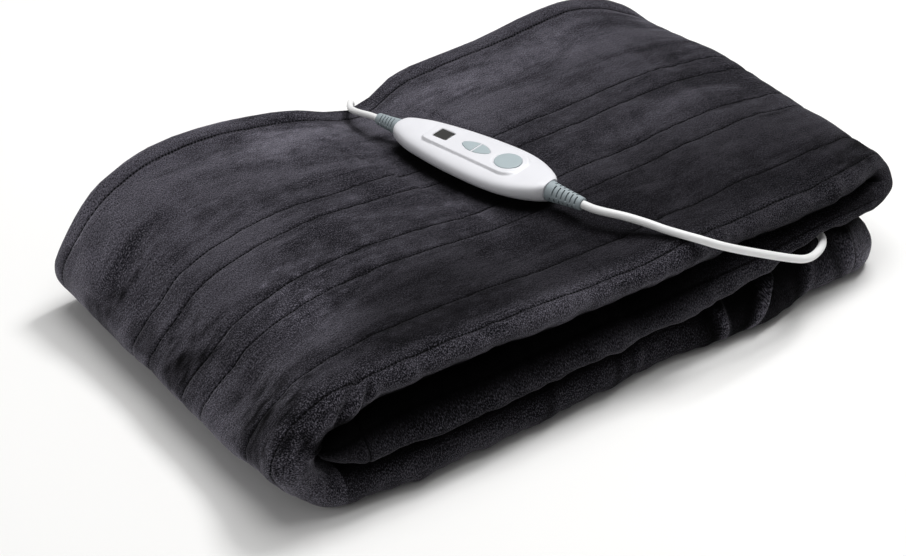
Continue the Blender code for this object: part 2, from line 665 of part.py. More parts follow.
def make_plug(slots):
    """Flat two-pin plug lying on the floor, pins towards -X."""
    bm = bmesh.new()
    rings = []
    shape = np.array([
        # x   half width   half thickness
        (0.0, PLUG_WIDTH / 2 - 1.0, PLUG_THICKNESS / 2 - 0.8),
        (1.2, PLUG_WIDTH / 2, PLUG_THICKNESS / 2),
        (11.0, PLUG_WIDTH / 2, PLUG_THICKNESS / 2),
        (20.0, PLUG_WIDTH / 2 - 4.5, PLUG_THICKNESS / 2 - 0.2),
        (28.0, PLUG_WIDTH / 2 - 10.0, PLUG_THICKNESS / 2 - 0.8),
        (34.0, 5.2, 5.0),
        (PLUG_LENGTH, 4.6, 4.4),
    ])
    for x, half_width, half_thick in shape:
        ring = []
        for k in range(20):
            a = 2 * math.pi * (k + 0.5) / 20
            c, s = math.cos(a), math.sin(a)
            ring.append(bm.verts.new((x * MM, half_width * math.copysign(abs(c) ** 0.45, c) * MM,
                                      half_thick * math.copysign(abs(s) ** 0.45, s) * MM)))
        rings.append(ring)
    bridge_rings(bm, rings)
    bm.faces.new(rings[0])
    bm.faces.new(rings[-1])
    plug = add_object("plug_body", finish_mesh("plug_body", bm), slots["plug"], 35.0)
    height = PLUG_THICKNESS / 2 + 0.05
    plug.location = (PLUG_AT[0] * MM, PLUG_AT[1] * MM, height * MM)
    pin_profile = [(0.0, PIN_RADIUS), (PIN_LENGTH - 1.5, PIN_RADIUS),
                   (PIN_LENGTH - 0.5, PIN_RADIUS * 0.8), (PIN_LENGTH, PIN_RADIUS * 0.4)]
    for name, side in (("plug_pin_near", -1), ("plug_pin_far", 1)):
        pin = turned(name, pin_profile, slots["pin"], 16)
        pin.location = ((PLUG_AT[0] - TOUCH) * MM,
                        (PLUG_AT[1] + side * PIN_SPACING / 2) * MM, height * MM)
        pin.rotation_euler = (0.0, 0.0, math.pi)


# ---------------------------------------------------------------- whole part

def main():
    for old in list(bpy.data.objects):
        bpy.data.objects.remove(old)
    slots = make_materials()
    make_blanket(slots["plush"])
    make_housing(slots["housing"])
    make_keys(slots)
    blanket_end, mains_end = HOUSING_SHAPE[-1, 0], HOUSING_SHAPE[0, 0]
    start = make_relief("relief_blanket", blanket_end, 1, BLANKET_RELIEF, slots["relief"])
    make_lead("blanket_lead", (start,) + BLANKET_LEAD_ROUTE, BLANKET_LEAD, slots["lead"])
    start = make_relief("relief_mains", mains_end, -1, MAINS_RELIEF, slots["relief"])
    make_mains_lead(start, slots["lead"])
    make_coil(slots["lead"])
    make_plug(slots)


main()
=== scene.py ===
"""Looks of the electric heated blanket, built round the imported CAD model.

Lengths and tables are in millimetres in the row frame; MM scales them to metres. Materials, lamps and
the floor are in metres.
"""

import math

import bmesh
import bpy
import numpy as np
from mathutils import Matrix, Vector


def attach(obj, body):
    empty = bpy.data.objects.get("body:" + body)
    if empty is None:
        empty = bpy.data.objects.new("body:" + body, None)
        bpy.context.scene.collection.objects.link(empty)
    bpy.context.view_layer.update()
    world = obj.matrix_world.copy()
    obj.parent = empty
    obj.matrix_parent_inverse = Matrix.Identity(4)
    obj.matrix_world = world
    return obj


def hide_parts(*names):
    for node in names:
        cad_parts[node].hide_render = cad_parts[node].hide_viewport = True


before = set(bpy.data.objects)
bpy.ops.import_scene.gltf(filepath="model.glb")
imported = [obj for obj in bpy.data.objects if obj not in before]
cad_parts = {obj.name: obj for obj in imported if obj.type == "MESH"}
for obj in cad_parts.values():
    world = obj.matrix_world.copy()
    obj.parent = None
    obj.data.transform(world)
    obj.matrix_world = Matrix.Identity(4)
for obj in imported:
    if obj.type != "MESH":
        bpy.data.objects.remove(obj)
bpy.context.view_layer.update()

MM = 0.001

# ---------------------------------------------------------------- shape shared with the CAD model

PLY = 6.4
PLY_GAP = 1.0
PLIES = 4
STRIP = PLIES * PLY + (PLIES - 1) * PLY_GAP
SECTION_GAP = 2.0
PITCH = STRIP + SECTION_GAP
STACK = 3 * STRIP + 2 * SECTION_GAP
FOLD_WIDTH = 321.0
FOLD_LENGTH = 553.0
HEM_SETBACK = 2.5
LEFT_BEND_X = -FOLD_LENGTH / 2 + PITCH + STRIP / 2
RIGHT_BEND_X = FOLD_LENGTH / 2 - PITCH / 2 - STRIP / 2
INNER_END_X = LEFT_BEND_X - 4.0
OUTER_END_X = 249.0
END_BULGE = 6.0
CORNER_PULL = 6.0

HOUSING_ANGLE = math.radians(-74.6)
HOUSING_TILT = math.radians(1.3)
HOUSING_AT = (-1.7, 10.2, 91.2)
HOUSING_MIDDLE = 10.0
PANEL_TOP = 21.0
PANEL_FROM, PANEL_TO = -46.0, 37.0
PANEL_STOP = 41.0
PANEL_HALF_LEFT, PANEL_HALF_RIGHT = 12.5, 16.0
PANEL_CORNER_LEFT, PANEL_CORNER_RIGHT = 5.0, 12.5
KEY_FOOT, KEY_TOP = 17.4, 21.5
KEY_TRAVEL = 0.8
LENS_AT, LENS_LENGTH, LENS_WIDTH, LENS_SPLIT = -2.5, 27.0, 12.4, 1.6
ROUND_KEY_AT, ROUND_KEY_RADIUS = 27.1, 10.2
DISPLAY_AT, DISPLAY_SIZE = -32.8, (13.2, 12.0)
DISPLAY_FOOT, DISPLAY_TOP = 19.2, 20.8
EXIT_HEIGHT = 10.7
BLANKET_RELIEF = (29.0, 7.6, 4.8)
MAINS_RELIEF = (21.0, 6.4, 4.4)
TOUCH = 0.3

BLANKET_LEAD = 6.0
MAINS_LEAD = 5.0
COIL_AT = (-98.0, 206.0)
COIL_RADIUS = 27.5
PLUG_AT = (-199.0, 188.0)
PLUG_THICKNESS = 13.7
PIN_LENGTH, PIN_RADIUS, PIN_SPACING = 19.0, 2.0, 18.6

NEAR_EDGE = np.array([  # x, then Y of the near edge of the bottom, middle and top section
    (-276, -150, -152, -149), (-240, -161, -162, -156), (-200, -166, -169, -157),
    (-130, -167, -171, -156), (-60, -165, -167, -156), (0, -161, -164, -156), (40, -158, -163, -156),
    (80, -163, -160, -153), (120, -165, -158, -151), (160, -160, -155, -149), (200, -155, -152, -146),
    (240, -154, -149, -139), (276, -148, -140, -127),
], float)
FAR_EDGE = np.array([  # x, then Y of the far edge of the bottom, middle and top section
    (-276, 156, 156, 152), (-240, 157, 155, 161), (-190, 158, 154, 166), (-90, 157, 153, 165),
    (-18, 156, 153, 155), (30, 158, 154, 164), (130, 159, 156, 166), (220, 160, 158, 164),
    (276, 156, 152, 150),
], float)
TOP_HEIGHT = np.array([  # x, then shares of the height near, in the middle and at the hem, and the lip
    (-276, 0.800, 0.550, 0.800, 1), (-262, 0.880, 0.620, 0.820, 2), (-250, 0.930, 0.690, 0.860, 3),
    (-238, 0.980, 0.800, 0.910, 4), (-220, 1.020, 0.890, 0.980, 5), (-200, 1.035, 0.950, 1.040, 6),
    (-175, 1.040, 1.020, 1.060, 7), (-140, 1.035, 1.040, 1.065, 6), (-100, 1.030, 1.040, 1.030, 5),
    (-65, 1.020, 1.030, 0.985, 4), (-18, 1.010, 1.020, 0.902, 0), (20, 1.005, 1.020, 1.010, 2),
    (60, 1.025, 1.020, 1.010, 3.5), (100, 1.025, 1.025, 1.025, 4), (150, 1.010, 1.050, 1.070, 7),
    (190, 0.985, 1.050, 1.080, 7), (230, 0.970, 1.010, 1.000, 5), (255, 0.960, 0.970, 0.890, 3),
    (276, 0.940, 0.950, 0.820, 0),
], float)
TOP_LINES_Y = (-150.0, -75.0, 45.0, 149.0)
LIP_FROM, LIP_TO = 143.0, 162.0
GAP_HEIGHT = np.array([  # x, then shares of the height where the lower and the upper gap lie
    (-276, 0.330, 0.670), (-100, 0.335, 0.680), (0, 0.340, 0.680), (80, 0.360, 0.700),
    (130, 0.420, 0.720), (190, 0.525, 0.760), (230, 0.540, 0.780), (276, 0.540, 0.790),
], float)
LEFT_FOOT = np.array([  # y, then how far the left bend's foot is tucked in
    (-170, 7), (-100, 8.5), (-40, 9), (20, 7), (70, 2.5), (120, -3), (165, -4),
], float)
LEAD_MOUTH_AT, LEAD_MOUTH_SPREAD, LEAD_MOUTH_OPEN = 192.0, 36.0, 3.6
LEAN = np.array([  # x, then how far the roll of the bottom, middle and top section leans back
    (-276, 0, 0, 0), (-232, 0, 0, 0), (-214, 0, 13, 4), (-190, 0, 21, 7), (-100, 0, 22, 8),
    (0, 3, 20, 8), (55, 7, 14, 6), (100, 15, 8, 4), (140, 19, 5, 2), (190, 17, 2, 0), (228, 13, 0, 0),
    (276, 10, 0, 0),
], float)
LEAN_FROM_Y, LEAN_TO_Y = -165.0, -15.0
RIDGES = (  # upright folds of the bottom's roll: X at foot and head, width, depth
    (93, 92, 4.5, 13), (112, 143, 5, 14), (2, 8, 4, 5), (14, 20, 3.5, 4), (-60, -52, 5, 4),
    (176, 190, 6, 6), (226, 221, 7, 9),
)

HOUSING_SHAPE = np.array([  # along the controller, half width, top, underside
    (-75.5, 7.4, 16.8, 3.6), (-74.3, 9.4, 17.4, 2.6), (-71, 11.8, 18, 1.6), (-65, 14.8, 18.5, 0.6),
    (-57, 17.8, 18.9, 0.1), (-45, 20.6, 19.2, 0), (-28, 23.6, 19.4, 0), (-10, 25.6, 19.5, 0),
    (8, 26.6, 19.5, 0), (24, 26.4, 19.5, 0), (37, 24.4, 19.4, 0), (48, 20.6, 19.2, 0.2),
    (56, 16.4, 19, 0.8), (61.5, 12.6, 18.8, 1.6), (65, 8.8, 18.4, 2.4),
], float)

BLANKET_LEAD_ROUTE = (
    (25.5, -88.6, 104.2), (29.6, -95.9, 104), (35.8, -103.3, 103.2), (43, -111.2, 101.6),
    (50.6, -120.5, 99.4), (57.4, -130.4, 97.4), (63.6, -140.4, 96.6), (71.6, -151.4, 95.2),
    (83.4, -159.6, 90.2), (98.5, -164.4, 83.2), (115.8, -166.4, 74.6), (133, -167.4, 65.8),
    (146.6, -167.8, 59), (158, -167, 53.6), (168.6, -164.4, 50.2), (178.4, -160.2, 48.6),
    (187, -154.6, 47.6), (193, -148.2, 47), (196, -141.5, 46.8),
)
MAINS_LEAD_ROUTE = (
    (-29.6, 111.3, 99.3), (-31, 117.5, 98), (-31.3, 124.2, 96), (-30.8, 130.7, 93.8),
    (-29.4, 137.7, 91.2), (-27.6, 142.4, 89.8), (-26, 146, 89.2), (-22, 151.3, 88), (-18.5, 156, 84.6),
    (-15.9, 159.5, 79.4), (-14.5, 161.4, 73.1), (-14.2, 162.2, 65), (-14.2, 163.8, 54),
    (-14.3, 165.9, 43), (-14.5, 167.7, 32), (-15, 169, 22.1), (-17.6, 170.3, 12.4), (-24.8, 171.6, 5.2),
    (-34.5, 172.6, 2.6), (-46, 173.3, 2.6), (-56, 173.5, 2.6),
)
TAIL_ROUTE = (
    (-126, 173.8, 16.6), (-133, 175.2, 14.4), (-140, 178.4, 11.6), (-147, 182.8, 9),
    (-153.5, 186.6, 7.4), (-160.7, 188, 6.9), (-165, 188, 6.9),
)


def smoothstep(value, low, high):
    t = np.clip((value - low) / (high - low), 0, 1)
    return t * t * (3 - 2 * t)


def fall(value, low, high):
    """From 1 at low down to 0 at high."""
    return 1 - smoothstep(value, low, high)


def bell(value):
    """From 1 at zero down to about 0.02 at a distance of 2."""
    return np.exp(-value ** 2)


def smooth_lookup(x, table):
    """Cubic curves through a table's columns, against its first column."""
    xs = table[:, 0]
    x = np.clip(x, xs[0], xs[-1])
    i = np.clip(np.searchsorted(xs, x) - 1, 0, len(xs) - 2)
    step = xs[i + 1] - xs[i]
    t = (x - xs[i]) / step
    curves = []
    for ys in table.T[1:]:
        slopes = np.gradient(ys, xs)
        curves.append((1 + 2 * t) * (1 - t) ** 2 * ys[i] + t * (1 - t) ** 2 * step * slopes[i]
                      + t * t * (3 - 2 * t) * ys[i + 1] + t * t * (t - 1) * step * slopes[i + 1])
    return curves


def run_along(points):
    """Length of a line of points up to each of them."""
    return np.append(0, np.cumsum(np.linalg.norm(np.diff(points, axis=0), axis=1)))


def smooth_route(points, spacing):
    """Points at even spacing on a Catmull-Rom curve through given ones."""
    p = np.array(points, float)
    p = np.vstack([2 * p[0] - p[1], p, 2 * p[-1] - p[-2]])
    fine = []
    for a, b, c, d in zip(p[:-3], p[1:-2], p[2:-1], p[3:]):
        for t in np.linspace(0, 1, 12, endpoint=False):
            fine.append(0.5 * (2 * b + (c - a) * t + (2 * a - 5 * b + 4 * c - d) * t ** 2
                               + (3 * b - a - 3 * c + d) * t ** 3))
    fine = np.array(fine + [p[-2]])
    run = run_along(fine)
    marks = np.linspace(0, run[-1], max(2, round(run[-1] / spacing) + 1))
    return np.stack([np.interp(marks, run, fine[:, k]) for k in range(3)], axis=1)


def section_blend(z, table, x):
    """A table's bottom, middle and top columns, passed from one to the next in the gaps and bends."""
    lower = STRIP + SECTION_GAP / 2
    upper = lower + PITCH
    bent = np.maximum(smoothstep(x, RIGHT_BEND_X - 6, RIGHT_BEND_X + 14),
                      smoothstep(-x, -LEFT_BEND_X, 20 - LEFT_BEND_X))
    reach = 4 + 11 * bent
    into_middle = smoothstep(z, lower - reach, lower + reach)
    into_top = smoothstep(z, upper - reach, upper + reach)
    bottom, middle, top = smooth_lookup(x, table)
    return bottom + (middle - bottom) * into_middle + (top - middle) * into_top


def top_height(x, y):
    near, middle, hem, lip = smooth_lookup(x, TOP_HEIGHT)
    share = near + (middle - near) * smoothstep(y, TOP_LINES_Y[0], TOP_LINES_Y[1])
    share = share + (hem - middle) * smoothstep(y, TOP_LINES_Y[2], TOP_LINES_Y[3])
    return share * STACK + lip * smoothstep(y, LIP_FROM, LIP_TO)


def roll_lean(x, z):
    """How far a point of the neat stack leans back, for its section and its height in it."""
    bottom, middle, top = smooth_lookup(x, LEAN)
    low = np.maximum(bottom - bottom_ridges(x, z), 0) * smoothstep(z / STRIP, 0.1, 1)
    mid = middle * smoothstep((z - PITCH) / STRIP, 0.1, 1)
    high = top * fall((z - 2 * PITCH) / STRIP, 0, 0.8)
    half_gap = SECTION_GAP / 2
    return np.where(z < PITCH - half_gap, low, np.where(z < 2 * PITCH - half_gap, mid, high))


def bottom_ridges(x, z):
    """Upright folds that stand forward in the bottom's leaning roll."""
    total = 0
    for foot, head, wide, deep in RIDGES:
        along = foot + (head - foot) * np.clip(z / STRIP, 0, 1)
        total = total + deep * bell((x - along) / wide)
    return total


def settle(x, y, z):
    """Move a point of the neat stack to where the soft blanket really lies."""
    half = FOLD_WIDTH / 2
    near_shift = section_blend(z, NEAR_EDGE, x) + half
    far_shift = section_blend(z, FAR_EDGE, x) - half
    y = y + near_shift * (0.5 - y / FOLD_WIDTH) + far_shift * (0.5 + y / FOLD_WIDTH)
    y = y + roll_lean(x, z) * fall(y, LEAN_FROM_Y, LEAN_TO_Y)
    nearness = fall(y, -150, 60)
    lower, upper = smooth_lookup(x, GAP_HEIGHT)
    lower = 1 / 3 + (lower - 1 / 3) * nearness
    upper = 2 / 3 + (upper - 2 / 3) * nearness
    mouth = bell((x - LEAD_MOUTH_AT) / LEAD_MOUTH_SPREAD) * fall(y, -135, -110)
    slit = SECTION_GAP / 2 / STACK
    opened = slit + mouth * LEAD_MOUTH_OPEN / STACK
    first, second = (STRIP + SECTION_GAP / 2) / STACK, (STRIP + PITCH + SECTION_GAP / 2) / STACK
    knots = (0, first - slit, first + slit, second - slit, second + slit, 1)
    marks = (0, lower - opened, lower + opened, upper - slit, upper + slit, 1)
    share = np.zeros_like(x)
    for k in range(len(knots) - 1):
        t = np.clip((z / STACK - knots[k]) / (knots[k + 1] - knots[k]), 0, 1)
        share = share + t * (marks[k + 1] - marks[k])
    x = x - CORNER_PULL * smoothstep(y, 30, 165) * smoothstep(x, 120, 276)
    foot = smoothstep(-x, 200, 262) * fall(share, 0.10, 0.70)
    x = x + smooth_lookup(y, LEFT_FOOT)[0] * foot
    return x, y, share * top_height(x, y)


def housing_frame(x, y, shift=0):
    """Place along (with a shift) and across the controller of a point given in X and Y."""
    dx, dy = x - HOUSING_AT[0], y - HOUSING_AT[1]
    c, s = math.cos(HOUSING_ANGLE), math.sin(HOUSING_ANGLE)
    return dx * c + dy * s + shift, -dx * s + dy * c


def exit_point(along):
    """Place on the line of the two strain reliefs, at some distance along the controller."""
    flat = along * math.cos(HOUSING_TILT) - EXIT_HEIGHT * math.sin(HOUSING_TILT)
    rise = along * math.sin(HOUSING_TILT) + EXIT_HEIGHT * math.cos(HOUSING_TILT)
    return (HOUSING_AT[0] + flat * math.cos(HOUSING_ANGLE),
            HOUSING_AT[1] + flat * math.sin(HOUSING_ANGLE), HOUSING_AT[2] + rise)


# ---------------------------------------------------------------- materials

class Nodes:
    """A material's node tree, written as short calls."""

    def __init__(self, name):
        self.material = bpy.data.materials.new(name)
        self.material.use_nodes = True
        self.tree = self.material.node_tree
        self.shader = self.tree.nodes["Principled BSDF"]
        self.place = self.tree.nodes.new("ShaderNodeTexCoord").outputs["Object"]

    def feed(self, sockets, values):
        """Link each named or numbered socket to the socket given for it, or set it to the value."""
        for key, value in values.items():
            if isinstance(value, bpy.types.NodeSocket):
                self.tree.links.new(value, sockets[key])
            else:
                sockets[key].default_value = value

    def add(self, kind, values=None, **settings):
        node = self.tree.nodes.new("ShaderNode" + kind)
        for key, value in settings.items():
            setattr(node, key, value)
        self.feed(node.inputs, values or {})
        return node

    def set(self, **values):
        self.feed(self.shader.inputs, {key.replace("_", " "): value for key, value in values.items()})

    def noise(self, scale, detail=2, roughness=0.5, stretch=(1, 1, 1), distortion=0, place=None):
        mapping = self.add("Mapping", {"Vector": place or self.place, "Scale": stretch})
        return self.add("TexNoise", {"Vector": mapping.outputs[0], "Scale": scale, "Detail": detail,
                                     "Roughness": roughness, "Distortion": distortion}).outputs["Fac"]

    def ramp(self, value, low, high, from_value=0, to_value=1):
        return self.add("MapRange", {"Value": value, "From Min": low, "From Max": high,
                                     "To Min": from_value, "To Max": to_value},
                        interpolation_type="SMOOTHSTEP").outputs["Result"]

    def mix(self, factor, a, b):
        return self.add("Mix", {0: factor, 6: a, 7: b}, data_type="RGBA").outputs[2]

    def math(self, operation, a, b=0, c=0):
        return self.add("Math", {0: a, 1: b, 2: c}, operation=operation).outputs[0]

    def times(self, a, b):
        return self.math("MULTIPLY", a, b)

    def bump(self, height, strength, distance, normal=None):
        values = {"Height": height, "Strength": strength, "Distance": distance}
        if normal is not None:
            values["Normal"] = normal
        return self.add("Bump", values).outputs["Normal"]


ROLL_FROM, ROLL_FULL = 0.284, 0.312     # where along the cloth's section its near roll begins
HALF_STITCH = 0.0014                    # half the distance from stitch to stitch


def plush_material():
    """Short brushed pile: nap patches drawn along the cloth, fine fibres, dark stitched lines, painted
    shade beside the seams, and the painted light and shade of the shade attribute.
    """
    n = Nodes("plush")
    cloth = n.add("Attribute", attribute_name="cloth").outputs["Vector"]
    shade = n.add("Attribute", attribute_name="shade").outputs["Fac"]
    along, round_section, seam = n.add("SeparateXYZ", {"Vector": cloth}).outputs
    patches, brushed, streaks, crossed, fibre = (
        n.noise(scale, detail, roughness, stretch, distortion, cloth)
        for scale, detail, roughness, stretch, distortion in (
            (10, 2, 0.50, (0.55, 1, 0), 0.5), (40, 3, 0.60, (0.30, 1, 0), 0.9),
            (130, 2, 0.55, (0.14, 1, 0), 0.4), (60, 2, 0.50, (1, 0.30, 0), 0.6),
            (1350, 2, 0.65, (1, 0.55, 0), 0)))
    tufts = n.noise(420, 2, 0.6)
    nap = n.math("MULTIPLY_ADD", patches, 0.36, n.math("MULTIPLY_ADD", brushed, 0.38, n.math(
        "MULTIPLY_ADD", streaks, 0.12, n.times(crossed, 0.14))))
    base = n.mix(n.ramp(nap, 0.40, 0.60), (0.0225, 0.0210, 0.0282, 1), (0.104, 0.0975, 0.122, 1))
    pile = n.math("MULTIPLY_ADD", fibre, 0.86, n.times(tufts, 0.14))
    rolled = n.ramp(round_section, ROLL_FROM, ROLL_FULL)
    grain = n.math("MULTIPLY_ADD", rolled, -0.035, pile)
    base = n.mix(n.ramp(grain, 0.36, 0.51, 1, 0), base, (0.0045, 0.0042, 0.0055, 1))
    bright = n.times(n.ramp(pile, 0.50, 0.64), n.math("MULTIPLY_ADD", rolled, 0.40, 0.55))
    base = n.mix(bright, base, (0.275, 0.262, 0.315, 1))
    # painted shade in the groove beside each seam
    base = n.mix(n.ramp(seam, 0.0008, 0.0026, 0.22, 0), base, (0.010, 0.0094, 0.012, 1))
    dash = n.ramp(n.math("PINGPONG", along, HALF_STITCH), 0.0003, 0.0008, 0.45, 1)
    drawn = n.times(dash, n.ramp(crossed, 0.38, 0.52, 0.75, 1))
    line = n.times(n.ramp(seam, 0.0004, 0.0011, 1, 0), drawn)
    base = n.mix(line, base, (0.0015, 0.0014, 0.0017, 1))
    # painted light and shade from the shade attribute, down to near black
    base = n.mix(shade, (0.0003, 0.0003, 0.0004, 1), base)
    # the painted shade also dims the sheen
    lit = n.times(shade, n.ramp(line, 0, 1, 1, 0.15))
    normal = n.bump(fibre, 1, 0.0008)
    normal = n.bump(tufts, 0.40, 0.0009, normal)
    normal = n.bump(brushed, 0.35, 0.0025, normal)
    n.set(Base_Color=base, Roughness=0.95, Normal=normal,
          Sheen_Weight=n.times(lit, n.ramp(nap, 0.40, 0.60, 0.16, 0.80)),
          Sheen_Roughness=0.40, Sheen_Tint=(0.80, 0.78, 0.88, 1), Specular_IOR_Level=0.06)
    return n.material


def thread_material():
    n = Nodes("thread")
    twist = n.noise(900.0, 1.0)
    shade = n.add("Attribute", attribute_name="shade").outputs["Fac"]
    lit = n.mix(twist, (0.003, 0.003, 0.0035, 1), (0.010, 0.0097, 0.012, 1))
    # the pile's painted shade darkens the threads too
    n.set(Base_Color=n.mix(shade, (0.0002, 0.0002, 0.0002, 1), lit), Specular_IOR_Level=0.05,
          Roughness=0.7, Normal=n.bump(twist, 0.4, 0.0003))
    return n.material


def plastic_material(name, colour, roughness, grain=0.08, coat=0.0):
    """Moulded plastic: a faint spark-eroded grain and uneven gloss."""
    n = Nodes(name)
    fine = n.noise(2600.0, 2.0, 0.6)
    cloud = n.noise(55.0, 3.0, 0.5)
    darker = tuple(0.93 * c for c in colour[:3]) + (1,)
    n.set(Base_Color=n.mix(cloud, darker, tuple(colour[:3]) + (1,)),
          Roughness=n.ramp(cloud, 0.2, 0.8, roughness - 0.05, roughness + 0.06),
          Normal=n.bump(fine, grain, 0.0001), Coat_Weight=coat, Coat_Roughness=0.15)
    return n.material


def pin_material():
    n = Nodes("pin")
    drawn = n.noise(420.0, 2.0, 0.5, stretch=(0.08, 1, 1))
    n.set(Base_Color=n.mix(drawn, (0.66, 0.62, 0.52, 1), (0.80, 0.75, 0.62, 1)), Metallic=1.0,
          Roughness=n.ramp(drawn, 0.2, 0.8, 0.20, 0.34))
    return n.material


GLOW_FROM, GLOW_TO, GLOW = 0.75, 2.4, 0.58     # the floor's glow: from where, full where, how strong


def floor_material():
    """Pale floor that glows a little far from the object, where the lamps don't reach."""
    n = Nodes("floor")
    fleck = n.noise(6.0, 2.0)
    distance = n.add("VectorMath", {0: n.place}, operation="LENGTH").outputs["Value"]
    n.set(Base_Color=n.mix(fleck, (0.90, 0.895, 0.885, 1), (0.915, 0.91, 0.90, 1)), Roughness=0.75,
          Emission_Color=(1, 0.995, 0.985, 1),
          Emission_Strength=n.ramp(distance, GLOW_FROM, GLOW_TO, 0, GLOW))
    return n.material


MATERIALS = {
    "plush": plush_material(),
    "thread": thread_material(),
    "housing": plastic_material("housing", (0.765, 0.765, 0.80), 0.38),
    "key": plastic_material("key", (0.393, 0.462, 0.485), 0.42),
    "display": plastic_material("display", (0.030, 0.030, 0.028), 0.22, 0.02, 0.5),
    "relief": plastic_material("relief", (0.31, 0.362, 0.385), 0.46),
    # near-black colour of the relief's slot faces: painted shade in the slots
    "gap": plastic_material("gap", (0.012, 0.013, 0.014), 0.6),
    "lead": plastic_material("lead", (0.86, 0.86, 0.86), 0.36),
    "tie": plastic_material("tie", (0.05, 0.05, 0.055), 0.5),
    "plug": plastic_material("plug", (0.80, 0.80, 0.81), 0.34),
    "pin": pin_material(),
    "floor": floor_material(),
}


def put(name, data):
    """A new object of these data, linked to the scene."""
    made = bpy.data.objects.new(name, data)
    bpy.context.collection.objects.link(made)
    return made


def add_piece(name, mesh, material, smooth_angle=None):
    for made in material if isinstance(material, tuple) else (material,):
        mesh.materials.append(MATERIALS[made])
    mesh.shade_smooth()
    if smooth_angle is not None:
        mesh.set_sharp_from_angle(angle=math.radians(smooth_angle))
    return put(name, mesh)


def mesh_from(name, points, faces):
    """Mesh from points in mm and lists of their numbers, with its normals set outwards."""
    mesh = bpy.data.meshes.new(name)
    mesh.from_pydata((np.asarray(points) * MM).tolist(), [], faces)
    bm = bmesh.new()
    bm.from_mesh(mesh)
    bmesh.ops.recalc_face_normals(bm, faces=bm.faces)
    bm.to_mesh(mesh)
    bm.free()
    return mesh


def set_attribute(mesh, name, kind, field, values):
    values = np.asarray(values, np.float32).ravel()
    mesh.attributes.new(name, kind, "POINT").data.foreach_set(field, values)


def tube_faces(rings, count, closed=False):
    """Quads over rings of equal count, joined end to end if closed, or else with flat ends."""
    index = np.arange(rings * count).reshape(rings, count)
    following = np.roll(index, -1, axis=0)
    corners = (index, np.roll(index, -1, axis=1), np.roll(following, -1, axis=1), following)
    quads = np.stack(corners, axis=2)
    if closed:
        return quads.reshape(-1, 4).tolist()
    return quads[:-1].reshape(-1, 4).tolist() + [index[0].tolist(), index[-1].tolist()]


def loft(name, rings, material, smooth_angle=None):
    """Closed skin over rings of equal count, with flat ends."""
    mesh = mesh_from(name, np.concatenate(rings), tube_faces(len(rings), len(rings[0])))
    return add_piece(name, mesh, material, smooth_angle)


def section(turns, power):
    """Across and up of an ellipse at power 1, and of a shape nearer a rectangle below it."""
    return (np.sign(wave) * np.abs(wave) ** power for wave in (np.cos(turns), np.sin(turns)))


def upright_ring(x, y, z, half_width, half_height, power, count=48):
    """Points round an upright section at x."""
    across, up = section(np.linspace(0, 2 * math.pi, count, endpoint=False), power)
    return np.stack([np.full(count, x), y + half_width * across, z + half_height * up], axis=1)


# ---------------------------------------------------------------- camera, light and floor

PHOTO_WIDTH, FOCAL_PIXELS, SENSOR = 906, 2500.0, 36.0
CAMERA_AZIMUTH, CAMERA_ELEVATION, CAMERA_DISTANCE = -34.66, 35.0, 1864.0
CAMERA_TARGET = (-18.5, 19.3, 0.0)
SKY_LIGHT = 0.22
LAMPS = (  # name, place and target in metres, size, watts
    ("key", (1.45, 0.40, 2.30), (0.0, 0.0, 0.05), 0.80, 47.0),
    ("overhead", (0.30, 0.25, 2.5), (0.0, 0.0, 0.05), 2.2, 31.0),
    ("side", (-2.4, -0.3, 1.3), (-0.1, 0.0, 0.05), 1.2, 8.0),
)
FLOOR_HALF = 30.0               # half the floor's side, in metres
FLOOR_DROP = 0.0002             # clearance under the pack, in metres


def make_stage():
    data = bpy.data.cameras.new("camera")
    data.sensor_width = SENSOR
    data.lens = FOCAL_PIXELS / PHOTO_WIDTH * SENSOR
    data.clip_start, data.clip_end = 0.05, 50.0
    camera = put("camera", data)
    a, e = math.radians(CAMERA_AZIMUTH), math.radians(CAMERA_ELEVATION)
    back = Vector((math.sin(a) * math.cos(e), -math.cos(a) * math.cos(e), math.sin(e)))
    camera.location = Vector(CAMERA_TARGET) * MM + back * CAMERA_DISTANCE * MM
    camera.rotation_euler = (-back).to_track_quat("-Z", "Y").to_euler()
    bpy.context.scene.camera = camera

    world = bpy.data.worlds.new("studio")
    world.use_nodes = True
    background = world.node_tree.nodes["Background"]
    background.inputs["Color"].default_value = (1, 1, 1, 1)
    background.inputs["Strength"].default_value = SKY_LIGHT
    bpy.context.scene.world = world
    bpy.context.scene.view_settings.view_transform = "Standard"

    for name, place, target, size, watts in LAMPS:
        light = bpy.data.lights.new(name, "AREA")
        light.shape = "DISK"
        light.size, light.energy = size, watts
        lamp = put(name, light)
        lamp.location = place
        lamp.rotation_euler = (Vector(target) - Vector(place)).to_track_quat("-Z", "Y").to_euler()

    bm = bmesh.new()
    bmesh.ops.create_grid(bm, x_segments=1, y_segments=1, size=FLOOR_HALF)
    mesh = bpy.data.meshes.new("floor")
    bm.to_mesh(mesh)
    bm.free()
    floor = add_piece("floor", mesh, "floor")
    floor.location.z = -FLOOR_DROP


# ---------------------------------------------------------------- cords

def make_tube(name, points, diameter, slot):
    curve = bpy.data.curves.new(name, "CURVE")
    curve.dimensions = "3D"
    curve.bevel_depth = diameter / 2 * MM
    curve.bevel_resolution = 6
    curve.use_fill_caps = True
    spline = curve.splines.new("POLY")
    spline.points.add(len(points) - 1)
    for point, place in zip(spline.points, points * MM):
        point.co = (*place, 1)
    spline.use_smooth = True
    curve.materials.append(MATERIALS[slot])
    return put(name, curve)


